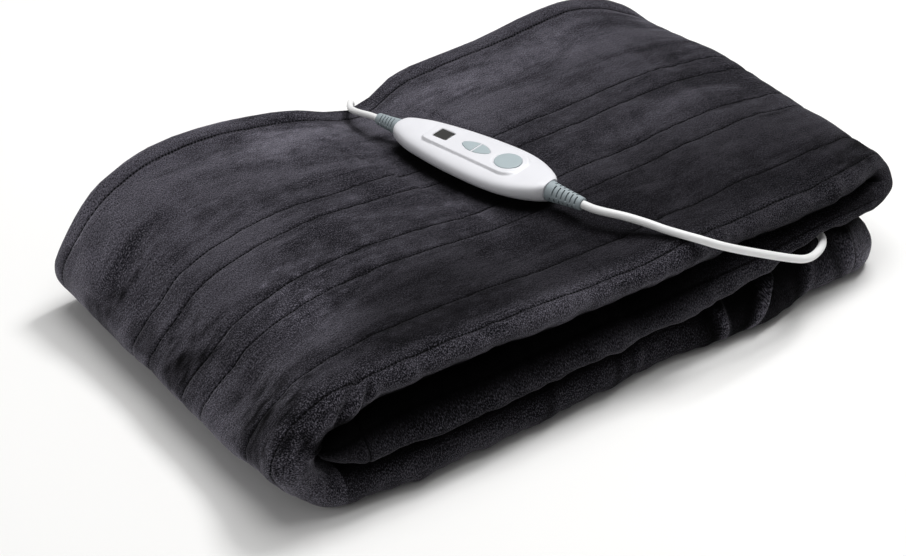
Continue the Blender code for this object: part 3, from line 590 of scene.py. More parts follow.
def coil_points():
    """The wound lead, clockwise from above: up through four layers, inwards and outwards by turns."""
    radii = np.array([32.5, 27.5, 22.5, 22.5, 27.5, 32.5, 32.5, 27.5, 27.5, 32.5])
    heights = np.array([2.6, 2.6, 2.6, 7.5, 7.5, 7.5, 12.5, 12.5, 17.5, 17.5])
    per_turn = 30
    k = np.arange(len(radii) * per_turn + 1)
    turn = np.minimum(k // per_turn, len(radii) - 1)
    following = np.minimum(turn + 1, len(radii) - 1)
    change = smoothstep(k / per_turn - turn, 0.80, 1)
    radius, height = (row[turn] + (row[following] - row[turn]) * change for row in (radii, heights))
    angle = -math.pi / 2 - 2 * math.pi * k / per_turn
    return np.stack([COIL_AT[0] + radius * np.cos(angle), COIL_AT[1] + radius * np.sin(angle),
                     height], axis=1)


def make_cords():
    spacing, straight = 3, (20.5, 0, 0)
    blanket_exit = exit_point(HOUSING_SHAPE[-1, 0] + BLANKET_RELIEF[0] + 2 * TOUCH)
    route = smooth_route((blanket_exit,) + BLANKET_LEAD_ROUTE, spacing)
    lead = make_tube("blanket_cord", route, BLANKET_LEAD, "lead")
    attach(lead, "pack")
    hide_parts("blanket_lead")

    mains_exit = exit_point(HOUSING_SHAPE[0, 0] - MAINS_RELIEF[0] - 2 * TOUCH)
    coil = coil_points()
    start = smooth_route((mains_exit, *MAINS_LEAD_ROUTE, coil[0] + straight, coil[0]), spacing)
    tail = smooth_route((coil[-1], coil[-1] - straight, *TAIL_ROUTE), spacing)
    route = np.concatenate([start[:-1], coil, tail[1:]])
    lead = make_tube("mains_cord", route, MAINS_LEAD, "lead")
    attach(lead, "pack")
    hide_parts("mains_lead", "mains_tail", "mains_coil")
    return lead, route, mains_exit


def make_tie():
    """Flat band round the coil's section."""
    half_band, turn = 4.5, math.radians(48)
    c, s = math.cos(turn), math.sin(turn)
    rings = []
    for side, grow in ((-1, 0.05), (-1, 0.75), (1, 0.75), (1, 0.05)):
        ring = upright_ring(side * half_band, COIL_RADIUS, 2 * MAINS_LEAD, 7.3 + grow, 9.2 + grow, 0.45)
        w, r, z = ring.T
        rings.append(np.stack([COIL_AT[0] + r * c - w * s, COIL_AT[1] + r * s + w * c,
                               np.maximum(z, 0.1)], axis=1))
    faces = tube_faces(len(rings), len(rings[0]), closed=True)
    tie = add_piece("tie", mesh_from("tie", np.concatenate(rings), faces), "tie", 40)
    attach(tie, "pack")


# ---------------------------------------------------------------- plug

PLUG_PROFILE = (  # along the plug from its pins: half width, half thickness, power of its section
    (0, 13, 3.4, 0.60), (0, 16, 5.6, 0.50), (0.5, 17, 6.5, 0.46), (1.4, 17.5, 6.85, 0.45),
    (6, 17.5, 6.85, 0.45), (11, 17.3, 6.85, 0.46), (15.5, 15.4, 6.8, 0.48), (20, 12.6, 6.6, 0.52),
    (24, 9.8, 6.3, 0.58), (28, 7.4, 5.9, 0.68), (31, 6, 5.4, 0.80), (31.4, 5, 4.7, 0.9),
    (32.2, 5, 4.7, 0.9), (32.6, 5.6, 5.2, 0.9), (33.8, 5.4, 5.1, 0.95), (34.2, 4.5, 4.3, 1),
    (34.9, 4.5, 4.3, 1), (35.3, 4.9, 4.7, 1), (36.5, 4.7, 4.5, 1), (37, 4.1, 4, 1), (37, 2.6, 2.6, 1),
)
PIN_PROFILE = (  # along a pin from the plug's face: radius
    (0.3, 1), (0.3, PIN_RADIUS), (9.6, PIN_RADIUS), (9.9, PIN_RADIUS - 0.12),
    (PIN_LENGTH - 2.2, PIN_RADIUS - 0.12), (PIN_LENGTH - 1.2, PIN_RADIUS - 0.3),
    (PIN_LENGTH - 0.3, PIN_RADIUS - 0.9), (PIN_LENGTH, 0.3),
)
PIN_SLEEVE = 9.7                # the part of a pin nearest the plug has a plastic sleeve


def make_plug():
    """Flat two-pin plug: a rounded body that narrows to its ribbed neck, and two pins."""
    x0, y0, z0 = *PLUG_AT, PLUG_THICKNESS / 2 + 0.05
    body = loft("plug", [upright_ring(x0 + x, y0, z0, *sizes) for x, *sizes in PLUG_PROFILE],
                "plug", 28)
    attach(body, "pack")
    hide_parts("plug_body")
    pins = []
    for name, side in (("plug_pin_near", -1), ("plug_pin_far", 1)):
        rings = [upright_ring(x0 - x, y0 + side * PIN_SPACING / 2, z0, radius, radius, 1, 32)
                 for x, radius in PIN_PROFILE]
        pin = loft(name + "_shown", rings, ("pin", "plug"), 30)
        for face in pin.data.polygons:
            face.material_index = int(face.center.x > (x0 - PIN_SLEEVE) * MM)
        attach(pin, "pack")
        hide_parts(name)
        pins.append(pin)
    return [body] + pins


# ---------------------------------------------------------------- blanket

SEAMS = (11.6, 116.2, 139.4, 188.6, 213.8, 275.2, 308.6)    # along the flat cloth from its hem
SHORT_SEAM, SHORT_SEAM_LENGTH = 333.2, 478.0    # stitches along the middle section only
ALL_SEAMS = SEAMS + (SHORT_SEAM,)
STITCH_PITCH, STITCH_LENGTH = 2.8, 1.8
NEAR_FOLD_AT = FOLD_WIDTH / 2 - HEM_SETBACK + FOLD_WIDTH / 2 - STRIP / 2
NEAR_ARC = math.pi * STRIP / 2
END_SEAM = 24.0                 # a hem runs this far from each end of the folded strip
PAST_SEAMS = 400                # the last channel between seams ends here, in the hidden cloth
FAR_FROM_SEAMS = 99.0           # seam distance of cloth that is hidden between plies
HIDDEN, FACE, ROLL = 0, 1, 2    # how finely a column of the cloth is divided
PLY_LEVELS = [(STRIP - PLY) / 2 - k * (PLY + PLY_GAP) for k in range(PLIES)]
STRIP_END = (0, 0.4, 1, 1.8, 2.8, 4, 6, 8.5, 11, 13.5, 16, 18.5, 20.5, 22, 23, 24, 25, 26, 27.5)
PAST_STRIP_END = 30             # beyond this, the rings of the strip are evenly spaced


def spaced(low, high, step, marks):
    """Places from low to high: even steps, and closer ones by each mark."""
    offsets = (0, 1, 2, 3.2, 4.6, 6.4, 8.8)
    near = [m + side * o for m in marks for o in offsets for side in (-1, 1)]
    places = np.concatenate([np.linspace(low, high, max(2, round((high - low) / step) + 1)), near])
    places = np.unique(places[(places >= low) & (places <= high)])
    keep = [places[0]]
    exact = set(marks)
    for place in places[1:]:
        if place - keep[-1] > 0.75:
            keep.append(place)
        elif place in exact or place == high:
            keep[-1] = place
    return np.array(keep)


def columns():
    """Round the cloth's section: y, height from its middle, place along the cloth, fineness."""
    ply_half = PLY / 2
    outer, second, third, inner = PLY_LEVELS
    half = FOLD_WIDTH / 2
    hem_y, near_y, far_y = half - HEM_SETBACK, -half + STRIP / 2, half - PLY - PLY_GAP / 2
    hidden = np.concatenate([np.linspace(near_y, hem_y - 24, 11),
                             hem_y - np.array([19, 15, 12, 9, 6, 3.5])])
    to_far = np.append(hidden[:-1], far_y)
    rows = []

    def flat(places, level):
        rows.extend((y, level, HIDDEN) for y in places)

    def arc(centre_y, centre_n, radius, start, stop, count):
        for a in np.radians(np.linspace(start, stop, count)[1:-1]):
            rows.append((centre_y + radius * math.cos(a), centre_n + radius * math.sin(a), HIDDEN))

    def hem(level):
        for a in np.radians(np.arange(-75, 90, 30)):
            rows.append((hem_y + 2.1 * math.cos(a), level + ply_half * math.sin(a), HIDDEN))

    hem(outer)
    first = len(rows)
    for v in spaced(0, NEAR_FOLD_AT, 3.4, ALL_SEAMS):
        rows.append((hem_y - v, outer + ply_half, ROLL if v > NEAR_FOLD_AT - 12 else FACE))
    radius = outer + ply_half
    for v in spaced(NEAR_FOLD_AT, NEAR_FOLD_AT + NEAR_ARC, 1.6, ALL_SEAMS)[1:]:
        a = math.pi / 2 + (v - NEAR_FOLD_AT) / radius
        rows.append((near_y + radius * math.cos(a), radius * math.sin(a), ROLL))
    rows += [(near_y + d, inner - ply_half, ROLL) for d in (2, 4.5, 8, 12, 17, 23)]
    flat(to_far[2:], inner - ply_half)
    arc(far_y, (third + inner) / 2, (third - inner) / 2 + ply_half, -90, 90, 9)
    flat(to_far[::-1], third + ply_half)
    arc(near_y, 0, second - ply_half, 270, 90, 5)
    flat(hidden, second - ply_half)
    hem(second)
    flat(hidden[::-1], second + ply_half)
    arc(near_y, 0, second + ply_half, 90, 270, 10)
    flat(to_far, third - ply_half)
    arc(far_y, (third + inner) / 2, (third - inner) / 2 - ply_half, 90, -90, 5)
    flat(to_far[::-1], inner + ply_half)
    arc(near_y, 0, outer - ply_half, 270, 90, 10)
    flat(hidden, outer - ply_half)
    y, n, fineness = np.array(rows, float).T
    along = np.concatenate([[0], np.cumsum(np.hypot(np.diff(y), np.diff(n)))])
    along -= along[first]
    on_arc = (fineness > 0) & (y < near_y)
    along[on_arc] = (NEAR_FOLD_AT + (math.pi / 2 - np.arctan2(n, near_y - y)) * radius)[on_arc]
    return y, n, along, fineness.astype(int)


def stations():
    """Along the C-shaped path: x, z, normal, length so far, on the outside, kept by every column."""
    low, middle, high = (STRIP / 2 + k * PITCH for k in range(3))
    rows = []

    def straight(start, stop, z, normal, step, outside):
        count = max(2, round(abs(stop - start) / step) + 1)
        for k, x in enumerate(np.linspace(start, stop, count)[:-1]):
            rows.append((x, z, 0, normal, outside, k % 8 == 0))

    def bend(x, z, radius, start, stop, count, stride):
        for k, a in enumerate(np.radians(np.linspace(start, stop, count)[:-1])):
            rows.append((x + radius * math.cos(a), z + radius * math.sin(a), math.cos(a),
                         math.sin(a), True, k % stride == 0))

    for k, d in enumerate(STRIP_END):
        rows.append((INNER_END_X + d, middle, 0, -1, False, k % 3 == 0 or k < 6))
    straight(INNER_END_X + PAST_STRIP_END, RIGHT_BEND_X, middle, -1, 2.9, False)
    bend(RIGHT_BEND_X, (middle + high) / 2, PITCH / 2, -90, 90, 33, 4)
    straight(RIGHT_BEND_X, LEFT_BEND_X, high, 1, 2.6, True)
    bend(LEFT_BEND_X, middle, PITCH, 90, 270, 61, 4)
    straight(LEFT_BEND_X, OUTER_END_X - PAST_STRIP_END, low, -1, 2.9, False)
    for k, d in reversed(list(enumerate(STRIP_END))):
        rows.append((OUTER_END_X - d, low, 0, -1, False, k % 3 == 0 or k < 6))
    table = np.array(rows, float)
    return (table[:, 0], table[:, 1], table[:, 2:4], run_along(table[:, :2]), table[:, 4] > 0,
            table[:, 5] > 0)


def waves(u, v, seed, shortest, longest, count=26, squeeze=1.0):
    """Smooth seeded noise of about unit size: a sum of plane waves over the flat cloth."""
    rng = np.random.default_rng(seed)
    total = np.zeros_like(u)
    for _ in range(count):
        length = shortest * (longest / shortest) ** rng.random()
        a = rng.random() * 2 * math.pi
        total += np.sin(2 * math.pi * (u * math.cos(a) + v * squeeze * math.sin(a)) / length
                        + rng.random() * 2 * math.pi)
    return total / math.sqrt(count / 2)


def seam_distance(u, v, end):
    """Distance in the flat cloth to the nearest line of stitches."""
    away = np.min([np.abs(v - seam) for seam in SEAMS], axis=0)
    away = np.minimum(away, np.hypot(v - SHORT_SEAM, np.maximum(u - SHORT_SEAM_LENGTH, 0)))
    return np.minimum(away, np.abs(end - END_SEAM))


FEATURES = (  # dimples and swellings near the left corner: centre, radius, height
    ((-216, -158, 80), 6, 3), ((-204, -156, 82), 6, 2), ((-250, -158, 60), 12, 2.5),
    ((205, -146, 83), 9, 2),
)
CREASES = (  # sharp creases of the left corner: points, radius, depth
    (((-247, -160, 50), (-247, -162, 36), (-253, -160, 24), (-260, -157, 16)), 3.6, 4),
    (((-238, -160, 60), (-249, -158, 62), (-258, -155, 60)), 3, 2.5),
    (((-229, -157, 70), (-224, -157, 80), (-216, -153, 88), (-207, -146, 92)), 3, 5),
    (((-211, -157, 70), (-209, -157, 79), (-202, -152, 87)), 2.8, 4),
)


def cloth_relief(u, v, end, place):
    """How far the pile's surface stands out of the neat cloth, in mm."""
    rise = 0.55 * waves(u, v, 11, 60, 170) + 0.16 * waves(u, v, 12, 16, 40)
    edges = (0, *SEAMS, PAST_SEAMS)
    for low, high in zip(edges, edges[1:]):
        t = np.clip((v - low) / (high - low), 0, 1)
        rise += 0.45 * (4 * t * (1 - t)) ** 0.7 * min(1, (high - low) / 30)
    away = seam_distance(u, v, end)
    rise -= 0.75 * bell(away / 1.3) + 0.25 * bell(away / 4)
    rise += 0.20 * waves(u, v, 40, 6, 14, squeeze=0.3) * np.exp(-away / 6)
    on_roll = smoothstep(v, NEAR_FOLD_AT - 6, NEAR_FOLD_AT + 8)
    rise += on_roll * (0.6 * waves(u, v, 21, 26, 70, squeeze=0.35)
                       + 0.25 * waves(u, v, 22, 9, 20, squeeze=0.5))
    for centre, wide, high in FEATURES:
        rise += high * bell(np.linalg.norm(place - centre, axis=2) / wide)
    for line, wide, deep in CREASES:
        rise -= deep * bell(distance_to_line(place, line) / wide)
    along, across = (np.abs(c) for c in housing_frame(place[:, :, 0], place[:, :, 1], 5))
    covered = fall(along, 70, 96) * fall(across, 24, 44)
    return rise * (1 - 0.85 * covered) - 0.6 * covered


def distance_to_line(place, line):
    line = np.array(line, float)
    best = np.full(place.shape[:2], np.inf)
    for a, b in zip(line, line[1:]):
        t = np.clip(((place - a) @ (b - a)) / ((b - a) @ (b - a)), 0, 1)
        best = np.minimum(best, np.linalg.norm(place - a - t[:, :, None] * (b - a), axis=2))
    return best


def blanket_grid(y, n, px, pz, normal, run):
    """Every point of the settled cloth, ring by ring, before its pile is shaped."""
    end = np.minimum(run, run[-1] - run)
    taper = np.sqrt(np.clip(1 - ((3 - np.minimum(end, 3)) / 3.05) ** 2, 0, 1))
    levels = np.array(PLY_LEVELS)
    nearest = levels[np.argmin(np.abs(n[:, None] - levels), axis=1)]
    centre = np.where(np.abs(n - nearest) <= PLY / 2 + 0.01, nearest, n)
    nn = centre + (n - centre) * taper[:, None]
    t = np.clip(1 - end / 26, 0, 1)
    rounding = (1 - np.sqrt(1 - t * t))[:, None]
    bulge = END_BULGE * (1 - (2 * n / STRIP) ** 2)
    outwards = np.where(run < run[-1] / 2, -1, 1)
    fade = fall(end, 0, 10)
    x = px[:, None] + nn * normal[:, :1] + bulge * (fade * outwards)[:, None]
    nn = nn * (1 - 0.30 * rounding)
    z = pz[:, None] + nn * normal[:, 1:]
    z = z - 0.30 * rounding * STRIP / 2 * (pz < PITCH / 2)[:, None]
    yy = np.broadcast_to(y, x.shape)
    near = fall(yy, -160, -95)
    far = smoothstep(yy, 110, 160)
    x, yy, z = settle(x, yy + rounding * (17 * near - 9 * far), z)
    along, across = housing_frame(x, yy)
    covered = (np.abs(along + 5) < 90) & (np.abs(across) < 42)
    underside = HOUSING_AT[2] + along * math.tan(HOUSING_TILT)
    z = np.where(covered, np.minimum(z, underside - 0.5), z)
    x, yy = (c - (c.min() + c.max()) / 2 for c in (x, yy))
    return np.stack([x, yy, z], axis=2), end


PAINTED_LIGHT_HEADROOM = 0.63     # share of the pile's colour kept where nothing paints it lighter or darker, so that a patch can be painted lighter
NAP_AND_PAINTED_LIGHT_PATCHES = (  # where the pile is painted lighter or darker, partly for its brushed nap and partly as painted light and shade: centre, reach on each axis, share of light
    ((-240, 0, 102), (20, 130, 22), 0.60), ((-125, -121, 106), (75, 20, 40), 0.42),
    ((-190, -54, 106), (28, 28, 40), 2.20), ((-125, -38, 106), (50, 18, 40), 1.60),
    ((-40, -60, 106), (20, 40, 40), 1.70), ((118, -48, 106), (45, 40, 40), 0.62),
    ((115, 30, 106), (45, 22, 40), 0.62), ((-165, 80, 106), (45, 18, 40), 0.66),
    ((-88, 124, 106), (28, 18, 40), 2.20), ((110, 124, 106), (95, 16, 40), 1.60),
    ((214, 70, 104), (20, 45, 40), 0.66), ((214, -60, 104), (26, 40, 40), 0.78),
    ((264, -112, 84), (12, 15, 14), 0.20), ((236, -126, 90), (18, 8, 12), 0.35),
    ((130, 2, 106), (95, 16, 40), 1.35), ((-110, 8, 106), (55, 24, 40), 1.40),
    ((-272, 76, 64), (20, 9, 28), 0.04), ((-272, -14, 58), (24, 26, 26), 0.02),
    ((-270, -106, 76), (26, 26, 30), 0.02), ((-264, -88, 102), (22, 13, 18), 0.25),
    ((-252, -152, 40), (14, 12, 26), 0.70), ((-270, -150, 80), (20, 14, 24), 0.12),
    ((-268, -60, 26), (24, 110, 15), 1.60),
)


def cloth_shade(u, v, px, pz, outside, place):
    """Painted light and shade on the pile: darker towards the near side, painted shade deep in its
    gaps, creases and under the controller and leads, and patches painted lighter or darker.
    """
    turn = np.degrees((v - NEAR_FOLD_AT) / (STRIP / 2))
    is_top = (outside & (pz > 2 * PITCH - 1))[:, None]
    is_middle = (~outside & (pz > PITCH))[:, None]
    is_bottom = (~outside & (pz < PITCH))[:, None]
    # painted shade on the underside of the top section's near roll, in the gap below it
    deep = np.where(is_top, 1 - 0.97 * smoothstep(turn, 86, 130), 1)
    middle, bottom = roll_shades(px[:, None], turn)
    deep = np.where(is_middle, middle, np.where(is_bottom, bottom, deep))

    x, y = place[:, :, 0], place[:, :, 1]
    # painted light: lighter towards the far side, a little darker on the right towards the far side,
    # lighter at the left end and along the near edge, there less on the right
    tone = 0.30 + 0.70 * smoothstep(y, -110, 120)
    tone = tone * (1 - 0.22 * smoothstep(x, 30, 110) * smoothstep(y, -20, 30))
    tone = tone + np.maximum(0.78 - tone, 0) * fall(x, -222, -150)
    rolled = fall(y, -148, -132) * (1 - 0.8 * smoothstep(x, 30, 110))
    tone = tone + np.maximum(0.84 - tone, 0) * rolled
    cloth = np.meshgrid(u, v, indexing="ij")
    blotch = smoothstep(waves(*cloth, 31, 26, 75, squeeze=0.6), 0.1, 1.5)
    # painted light: the outside of the left bend is lighter; its blotches are the nap's own uneven tone
    bend = smoothstep(-px[:, None], 225, 262) * outside[:, None]
    tone = tone * (1 + 0.30 * bend) * (1 - 0.45 * bend * blotch)
    uneven = 0.30 * waves(*cloth, 33, 9, 36, squeeze=2)
    # patches painted lighter or darker, partly for the nap and partly as painted light and shade
    for centre, reach, share in NAP_AND_PAINTED_LIGHT_PATCHES:
        gap = np.linalg.norm((place - centre) / reach, axis=2)
        tone = tone * (1 + (share - 1) * np.exp(-np.maximum(gap + uneven, 0) ** 2))
    # painted shade along the creases
    for line, wide, _ in CREASES:
        tone = tone * (1 - 0.75 * bell(distance_to_line(place, line) / wide))
    tone = np.where((outside & (pz > PITCH / 2))[:, None], tone, 1)
    # painted shadow of the controller, its reliefs and its leads on the top section
    return PAINTED_LIGHT_HEADROOM * deep * tone * (1 - 0.94 * painted_contact_shadow(place) * is_top)


def roll_shades(x, turn):
    """Painted shade and light on the near rolls of the middle and bottom section, by X and angle round
    them.
    """
    left = fall(x, 40, 130)
    tucked_end_shade = fall(x, -246, -196)
    # painted shade on the middle roll's upper part in the gap under the top section, on its lower
    # crease and at its tucked left end
    middle = 1 - (0.70 + 0.28 * left) * smoothstep(turn, 86 - 24 * left, 136 - 18 * left)
    middle = middle * (1 - 0.6 * fall(turn, 6, 30)) * (1 - 0.45 * tucked_end_shade)
    ridges, hollows = 0, 0
    for foot, head, wide, deep in RIDGES:
        gap = x - foot - (head - foot) * (1 - np.cos(np.radians(turn))) / 2
        ridges = ridges + bell(gap / (0.7 * wide)) * min(1, deep / 12)
        # painted shade in the hollow beside each ridge
        hollows = hollows + bell((gap + 2.2 * wide) / (1.1 * wide)) * min(1, deep / 5)
    ridges, hollows = np.clip(ridges, 0, 1), np.clip(hollows, 0, 1)
    right = smoothstep(x, 40, 90) * fall(x, 150, 205)
    # painted shade on the bottom roll's upper part under the middle section, darker between the ridges
    # on the right
    bottom = 1 - (0.94 - 0.06 * left) * smoothstep(turn, 60 + 44 * left, 122 + 34 * left)
    bottom = 0.46 * bottom * (1 - 0.80 * right * (1 - ridges))
    # painted highlights on the upright ridges and on the bottom's right end
    lit = (0.45 + 0.55 * right) * ridges + 0.52 * smoothstep(x, 165, 222)
    bottom = bottom + fall(turn, 110, 150) * lit
    return (0.48 - 0.12 * left) * middle, bottom * (1 - 0.75 * hollows)


def painted_contact_shadow(place):
    """Painted shadow: how much of the light on the cloth the controller, its reliefs and its leads take
    away.
    """
    x, y, z = np.moveaxis(place, 2, 0)
    along, across = housing_frame(x, y)
    half = smooth_lookup(np.clip(along, -75, 64), HOUSING_SHAPE)[0]
    sheltered = np.where(across < 0, fall(-across - half, 0, 5.5),
                         fall(across - half, -5, 2))
    dark = sheltered * smoothstep(along, -80, -70) * fall(along, 62, 72)
    near, far = HOUSING_SHAPE[-1, 0], HOUSING_SHAPE[0, 0]
    ends = np.concatenate([np.arange(near, near + BLANKET_RELIEF[0], 4),
                           np.arange(far - MAINS_RELIEF[0], far, 4)])
    for cx, cy, cz in (*(exit_point(s) for s in ends), *smooth_route(BLANKET_LEAD_ROUTE[:12], 4),
                       *smooth_route(MAINS_LEAD_ROUTE[:9], 4)):
        lift = np.maximum(cz - z, 0)
        gap = np.hypot(x - cx + 0.40 * lift, y - cy + 0.16 * lift)
        dark = np.maximum(dark, 0.70 * bell(gap / 3.6) * fall(lift, 12, 40))
    return dark


def blanket_faces(keep, shared):
    """Faces between neighbouring columns, which meet at the shared rings, and the strip's two ends."""
    index = np.cumsum(keep).reshape(keep.shape) - 1
    marks = np.flatnonzero(shared)
    faces = []
    for j in range(keep.shape[1]):
        for a, b in zip(marks, marks[1:]):
            left, right = (index[a:b + 1, k][keep[a:b + 1, k]] for k in (j, (j + 1) % keep.shape[1]))
            if len(left) == len(right):
                faces += np.stack([left[:-1], right[:-1], right[1:], left[1:]], axis=1).tolist()
            else:
                faces.append([*left.tolist(), *right[::-1].tolist()])
    return faces + [index[0].tolist(), index[-1].tolist()]


def make_stitches(face, v, out, run, shade):
    """Short threads along each seam, sunk in its groove."""
    points, faces, shades = [], [], []
    turns = np.radians(np.arange(0, 360, 60))[:, None]
    thread = tube_faces(3, len(turns))
    for seam in ALL_SEAMS:
        column = int(np.argmin(np.abs(v - seam)))
        stop = SHORT_SEAM_LENGTH if seam == SHORT_SEAM else run[-1] - 6
        for mark in np.arange(3, stop, STITCH_PITCH):
            marks = mark + np.array([0, 0.5, 1]) * STITCH_LENGTH
            places = np.stack([np.interp(marks, run, line) for line in face[:, column].T], axis=1)
            ring = int(np.searchsorted(run, mark))
            up, light = out[ring, column], shade[ring, column]
            ahead = places[2] - places[0]
            # no thread where the painted shade is deepest
            if np.linalg.norm(ahead) < 0.8 or places[1][2] < 2 or light < 0.10:
                continue
            side = np.cross(up, ahead)
            side /= np.linalg.norm(side)
            first = len(turns) * len(points)
            faces += [[first + k for k in corners] for corners in thread]
            for place, wide, lift in zip(places, (0.2, 0.36, 0.2), (-0.25, 0.05, -0.25)):
                points.append(place + side * wide * np.cos(turns)
                              + up * (lift + 0.8 * wide * np.sin(turns)))
                shades += [light] * len(turns)
    mesh = mesh_from("stitching", np.concatenate(points), faces)
    set_attribute(mesh, "shade", "FLOAT", "value", shades)
    stitching = add_piece("stitching", mesh, "thread")
    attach(stitching, "pack")
    return stitching


def make_blanket():
    y, n, v, fineness = columns()
    px, pz, normal, run, outside, shared = stations()
    grid, end = blanket_grid(y, n, px, pz, normal, run)

    shown = np.flatnonzero(fineness)
    face = grid[:, shown]
    out = np.cross(np.gradient(face, axis=1), np.gradient(face, axis=0))
    out /= np.linalg.norm(out, axis=2, keepdims=True) + 1e-9
    top_ring = int(np.argmin(np.abs(px) + 1000 * (pz < 2 * PITCH)))
    if out[top_ring, len(shown) // 4, 2] < 0:
        out = -out
    flat_place = np.broadcast_arrays(run[:, None], v[shown], end[:, None])
    roll_end = NEAR_FOLD_AT + NEAR_ARC
    seen = smoothstep(v[shown], -1, 5) * fall(v[shown], roll_end + 4, roll_end + 20)
    rise = cloth_relief(*flat_place, face) * smoothstep(end, 0, 8)[:, None] * seen
    grid[:, shown] = face + out * rise[:, :, None]
    grid[:, :, 2] = np.maximum(grid[:, :, 2], 0)

    keep = np.zeros(grid.shape[:2], bool)
    keep[shared] = True
    keep[:, fineness == ROLL] = True
    keep[np.ix_(outside, fineness == FACE)] = True
    mesh = mesh_from("throw", grid[keep], blanket_faces(keep, shared))
    cloth = np.full(grid.shape, FAR_FROM_SEAMS)
    cloth[:, :, 0], cloth[:, :, 1] = run[:, None], v
    cloth[:, shown, 2] = seam_distance(*flat_place)
    set_attribute(mesh, "cloth", "FLOAT_VECTOR", "vector", cloth[keep] * MM)
    # painted light and shade of the pile, kept as the shade attribute
    shade = np.where(fineness > 0, cloth_shade(run, v, px, pz, outside, grid), 0.5)
    set_attribute(mesh, "shade", "FLOAT", "value", shade[keep])

    throw = add_piece("throw", mesh, "plush")
    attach(throw, "pack")
    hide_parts("blanket")
    stitching = make_stitches(grid[:, shown], v[shown], out, run, shade[:, shown])


# ---------------------------------------------------------------- controller

HOUSING_MATRIX = (Matrix.Translation(Vector(HOUSING_AT)) @ Matrix.Rotation(HOUSING_ANGLE, 4, "Z")
                  @ Matrix.Rotation(-HOUSING_TILT, 4, "Y"))
TOP_POWER, UNDERSIDE_POWER = 0.71, 1.05     # the section: 1 is an ellipse, less is squarer
WIDEST_ABOVE_MIDDLE = 1.8
SHELL_SHARE = 0.985             # the shell's width as a share of the CAD model's
SLOT_SHARE, SLOT_DEPTH = 0.56, 0.70     # a relief's slots: share of the pitch, radius left in them


def on_housing(points):
    """Points of the controller's own frame, in the row frame."""
    turned = np.array(HOUSING_MATRIX)
    return np.asarray(points) @ turned[:3, :3].T + turned[:3, 3]


def panel_height(s, w, plain):
    """Height of the top of the housing: the plain shell, or the raised panel where it stands."""
    share = (s - PANEL_FROM) / (PANEL_TO - PANEL_FROM)
    half = PANEL_HALF_LEFT + (PANEL_HALF_RIGHT - PANEL_HALF_LEFT) * share
    corner = PANEL_CORNER_LEFT if s < 0 else PANEL_CORNER_RIGHT
    dx = max(PANEL_FROM - s + corner, s - PANEL_STOP + corner, 0)
    dy = np.maximum(np.abs(w) - half + corner, 0)
    edge = fall(np.hypot(dx, dy) - corner, -1.1, 0.8)
    merge = fall(s, 34, 44)
    dish = 0.35 * bell((np.hypot(s - ROUND_KEY_AT, w) - ROUND_KEY_RADIUS - 1.5) / 0.8)
    panel = PANEL_TOP - 0.30 * (w / 16) ** 2 - dish
    return plain + (panel - plain) * edge * merge


def make_housing():
    places = np.concatenate([[-75.5, -75.2, -74.8], np.arange(-74.3, -50, 1.1),
                             np.arange(-49.6, -39, 0.4), np.arange(-38.6, 12, 1.1),
                             np.arange(12.4, 64.2, 0.8), [64.4, 64.8, 65]])
    quarter = np.concatenate([np.linspace(0, 0.75, 14), np.linspace(0.75, 1.15, 34)[1:],
                              np.linspace(1.15, math.pi / 2, 14)[1:]])
    turns = np.concatenate([quarter, math.pi - quarter[-2::-1],
                            math.pi + np.linspace(0, math.pi, 50)[1:-1]])
    above = np.sin(turns) > 0
    across, up = section(turns, np.where(above, TOP_POWER, UNDERSIDE_POWER))
    widest = HOUSING_MIDDLE + WIDEST_ABOVE_MIDDLE
    rings = []
    for s, half, top, under in zip(places, *smooth_lookup(places, HOUSING_SHAPE)):
        w = SHELL_SHARE * half * across
        z = widest + np.where(above, top - widest, widest - under) * up
        z = np.where(above, panel_height(s, w, z), z)
        rings.append(np.stack([np.full(len(w), s), w, z], axis=1))
    for end in (0, -1):
        middle = rings[end].mean(axis=0)
        caps = [middle + (rings[end] - middle) * (1, share, share) for share in (0.93, 0.80)]
        rings = caps[::-1] + rings if end == 0 else rings + caps
    housing = loft("controller", [on_housing(ring) for ring in rings], "housing", 42)
    key_pocket = KEY_FOOT - KEY_TRAVEL - TOUCH
    for outline, foot in ((half_lens(-1, TOUCH), key_pocket), (half_lens(1, TOUCH), key_pocket),
                          (disc(ROUND_KEY_AT, ROUND_KEY_RADIUS + TOUCH), key_pocket),
                          (window(TOUCH), DISPLAY_FOOT - TOUCH)):
        cutter = loft("cutter", [on_housing([(s, w, h) for s, w in outline])
                                 for h in (foot, PANEL_TOP + 5)], "housing")
        modifier = housing.modifiers.new("pocket", "BOOLEAN")
        modifier.operation, modifier.object = "DIFFERENCE", cutter
        bpy.context.view_layer.update()
        cut = bpy.data.meshes.new_from_object(housing.evaluated_get(
            bpy.context.evaluated_depsgraph_get()))
        housing.modifiers.clear()
        housing.data = cut
        bpy.data.objects.remove(cutter)
    housing.data.name = "controller"
    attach(housing, "pack")
    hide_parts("housing")


def half_lens(side, grow, steps=20):
    half, rise = LENS_LENGTH / 2, LENS_WIDTH / 2
    bow = (half ** 2 + rise ** 2) / (2 * rise)
    start = LENS_SPLIT / 2 - grow
    stop = half - 1.2 + grow
    edge = [(s, math.sqrt((bow + grow) ** 2 - s * s) - (bow - rise)) for s in
            np.linspace(start, stop, steps)]
    outline = [(s, -w) for s, w in edge] + [(s, w) for s, w in reversed(edge)]
    return [(LENS_AT + side * s, side * w) for s, w in outline]


def disc(centre, radius, count=72):
    turns = (2 * math.pi * k / count for k in range(count))
    return [(centre + radius * math.cos(a), radius * math.sin(a)) for a in turns]


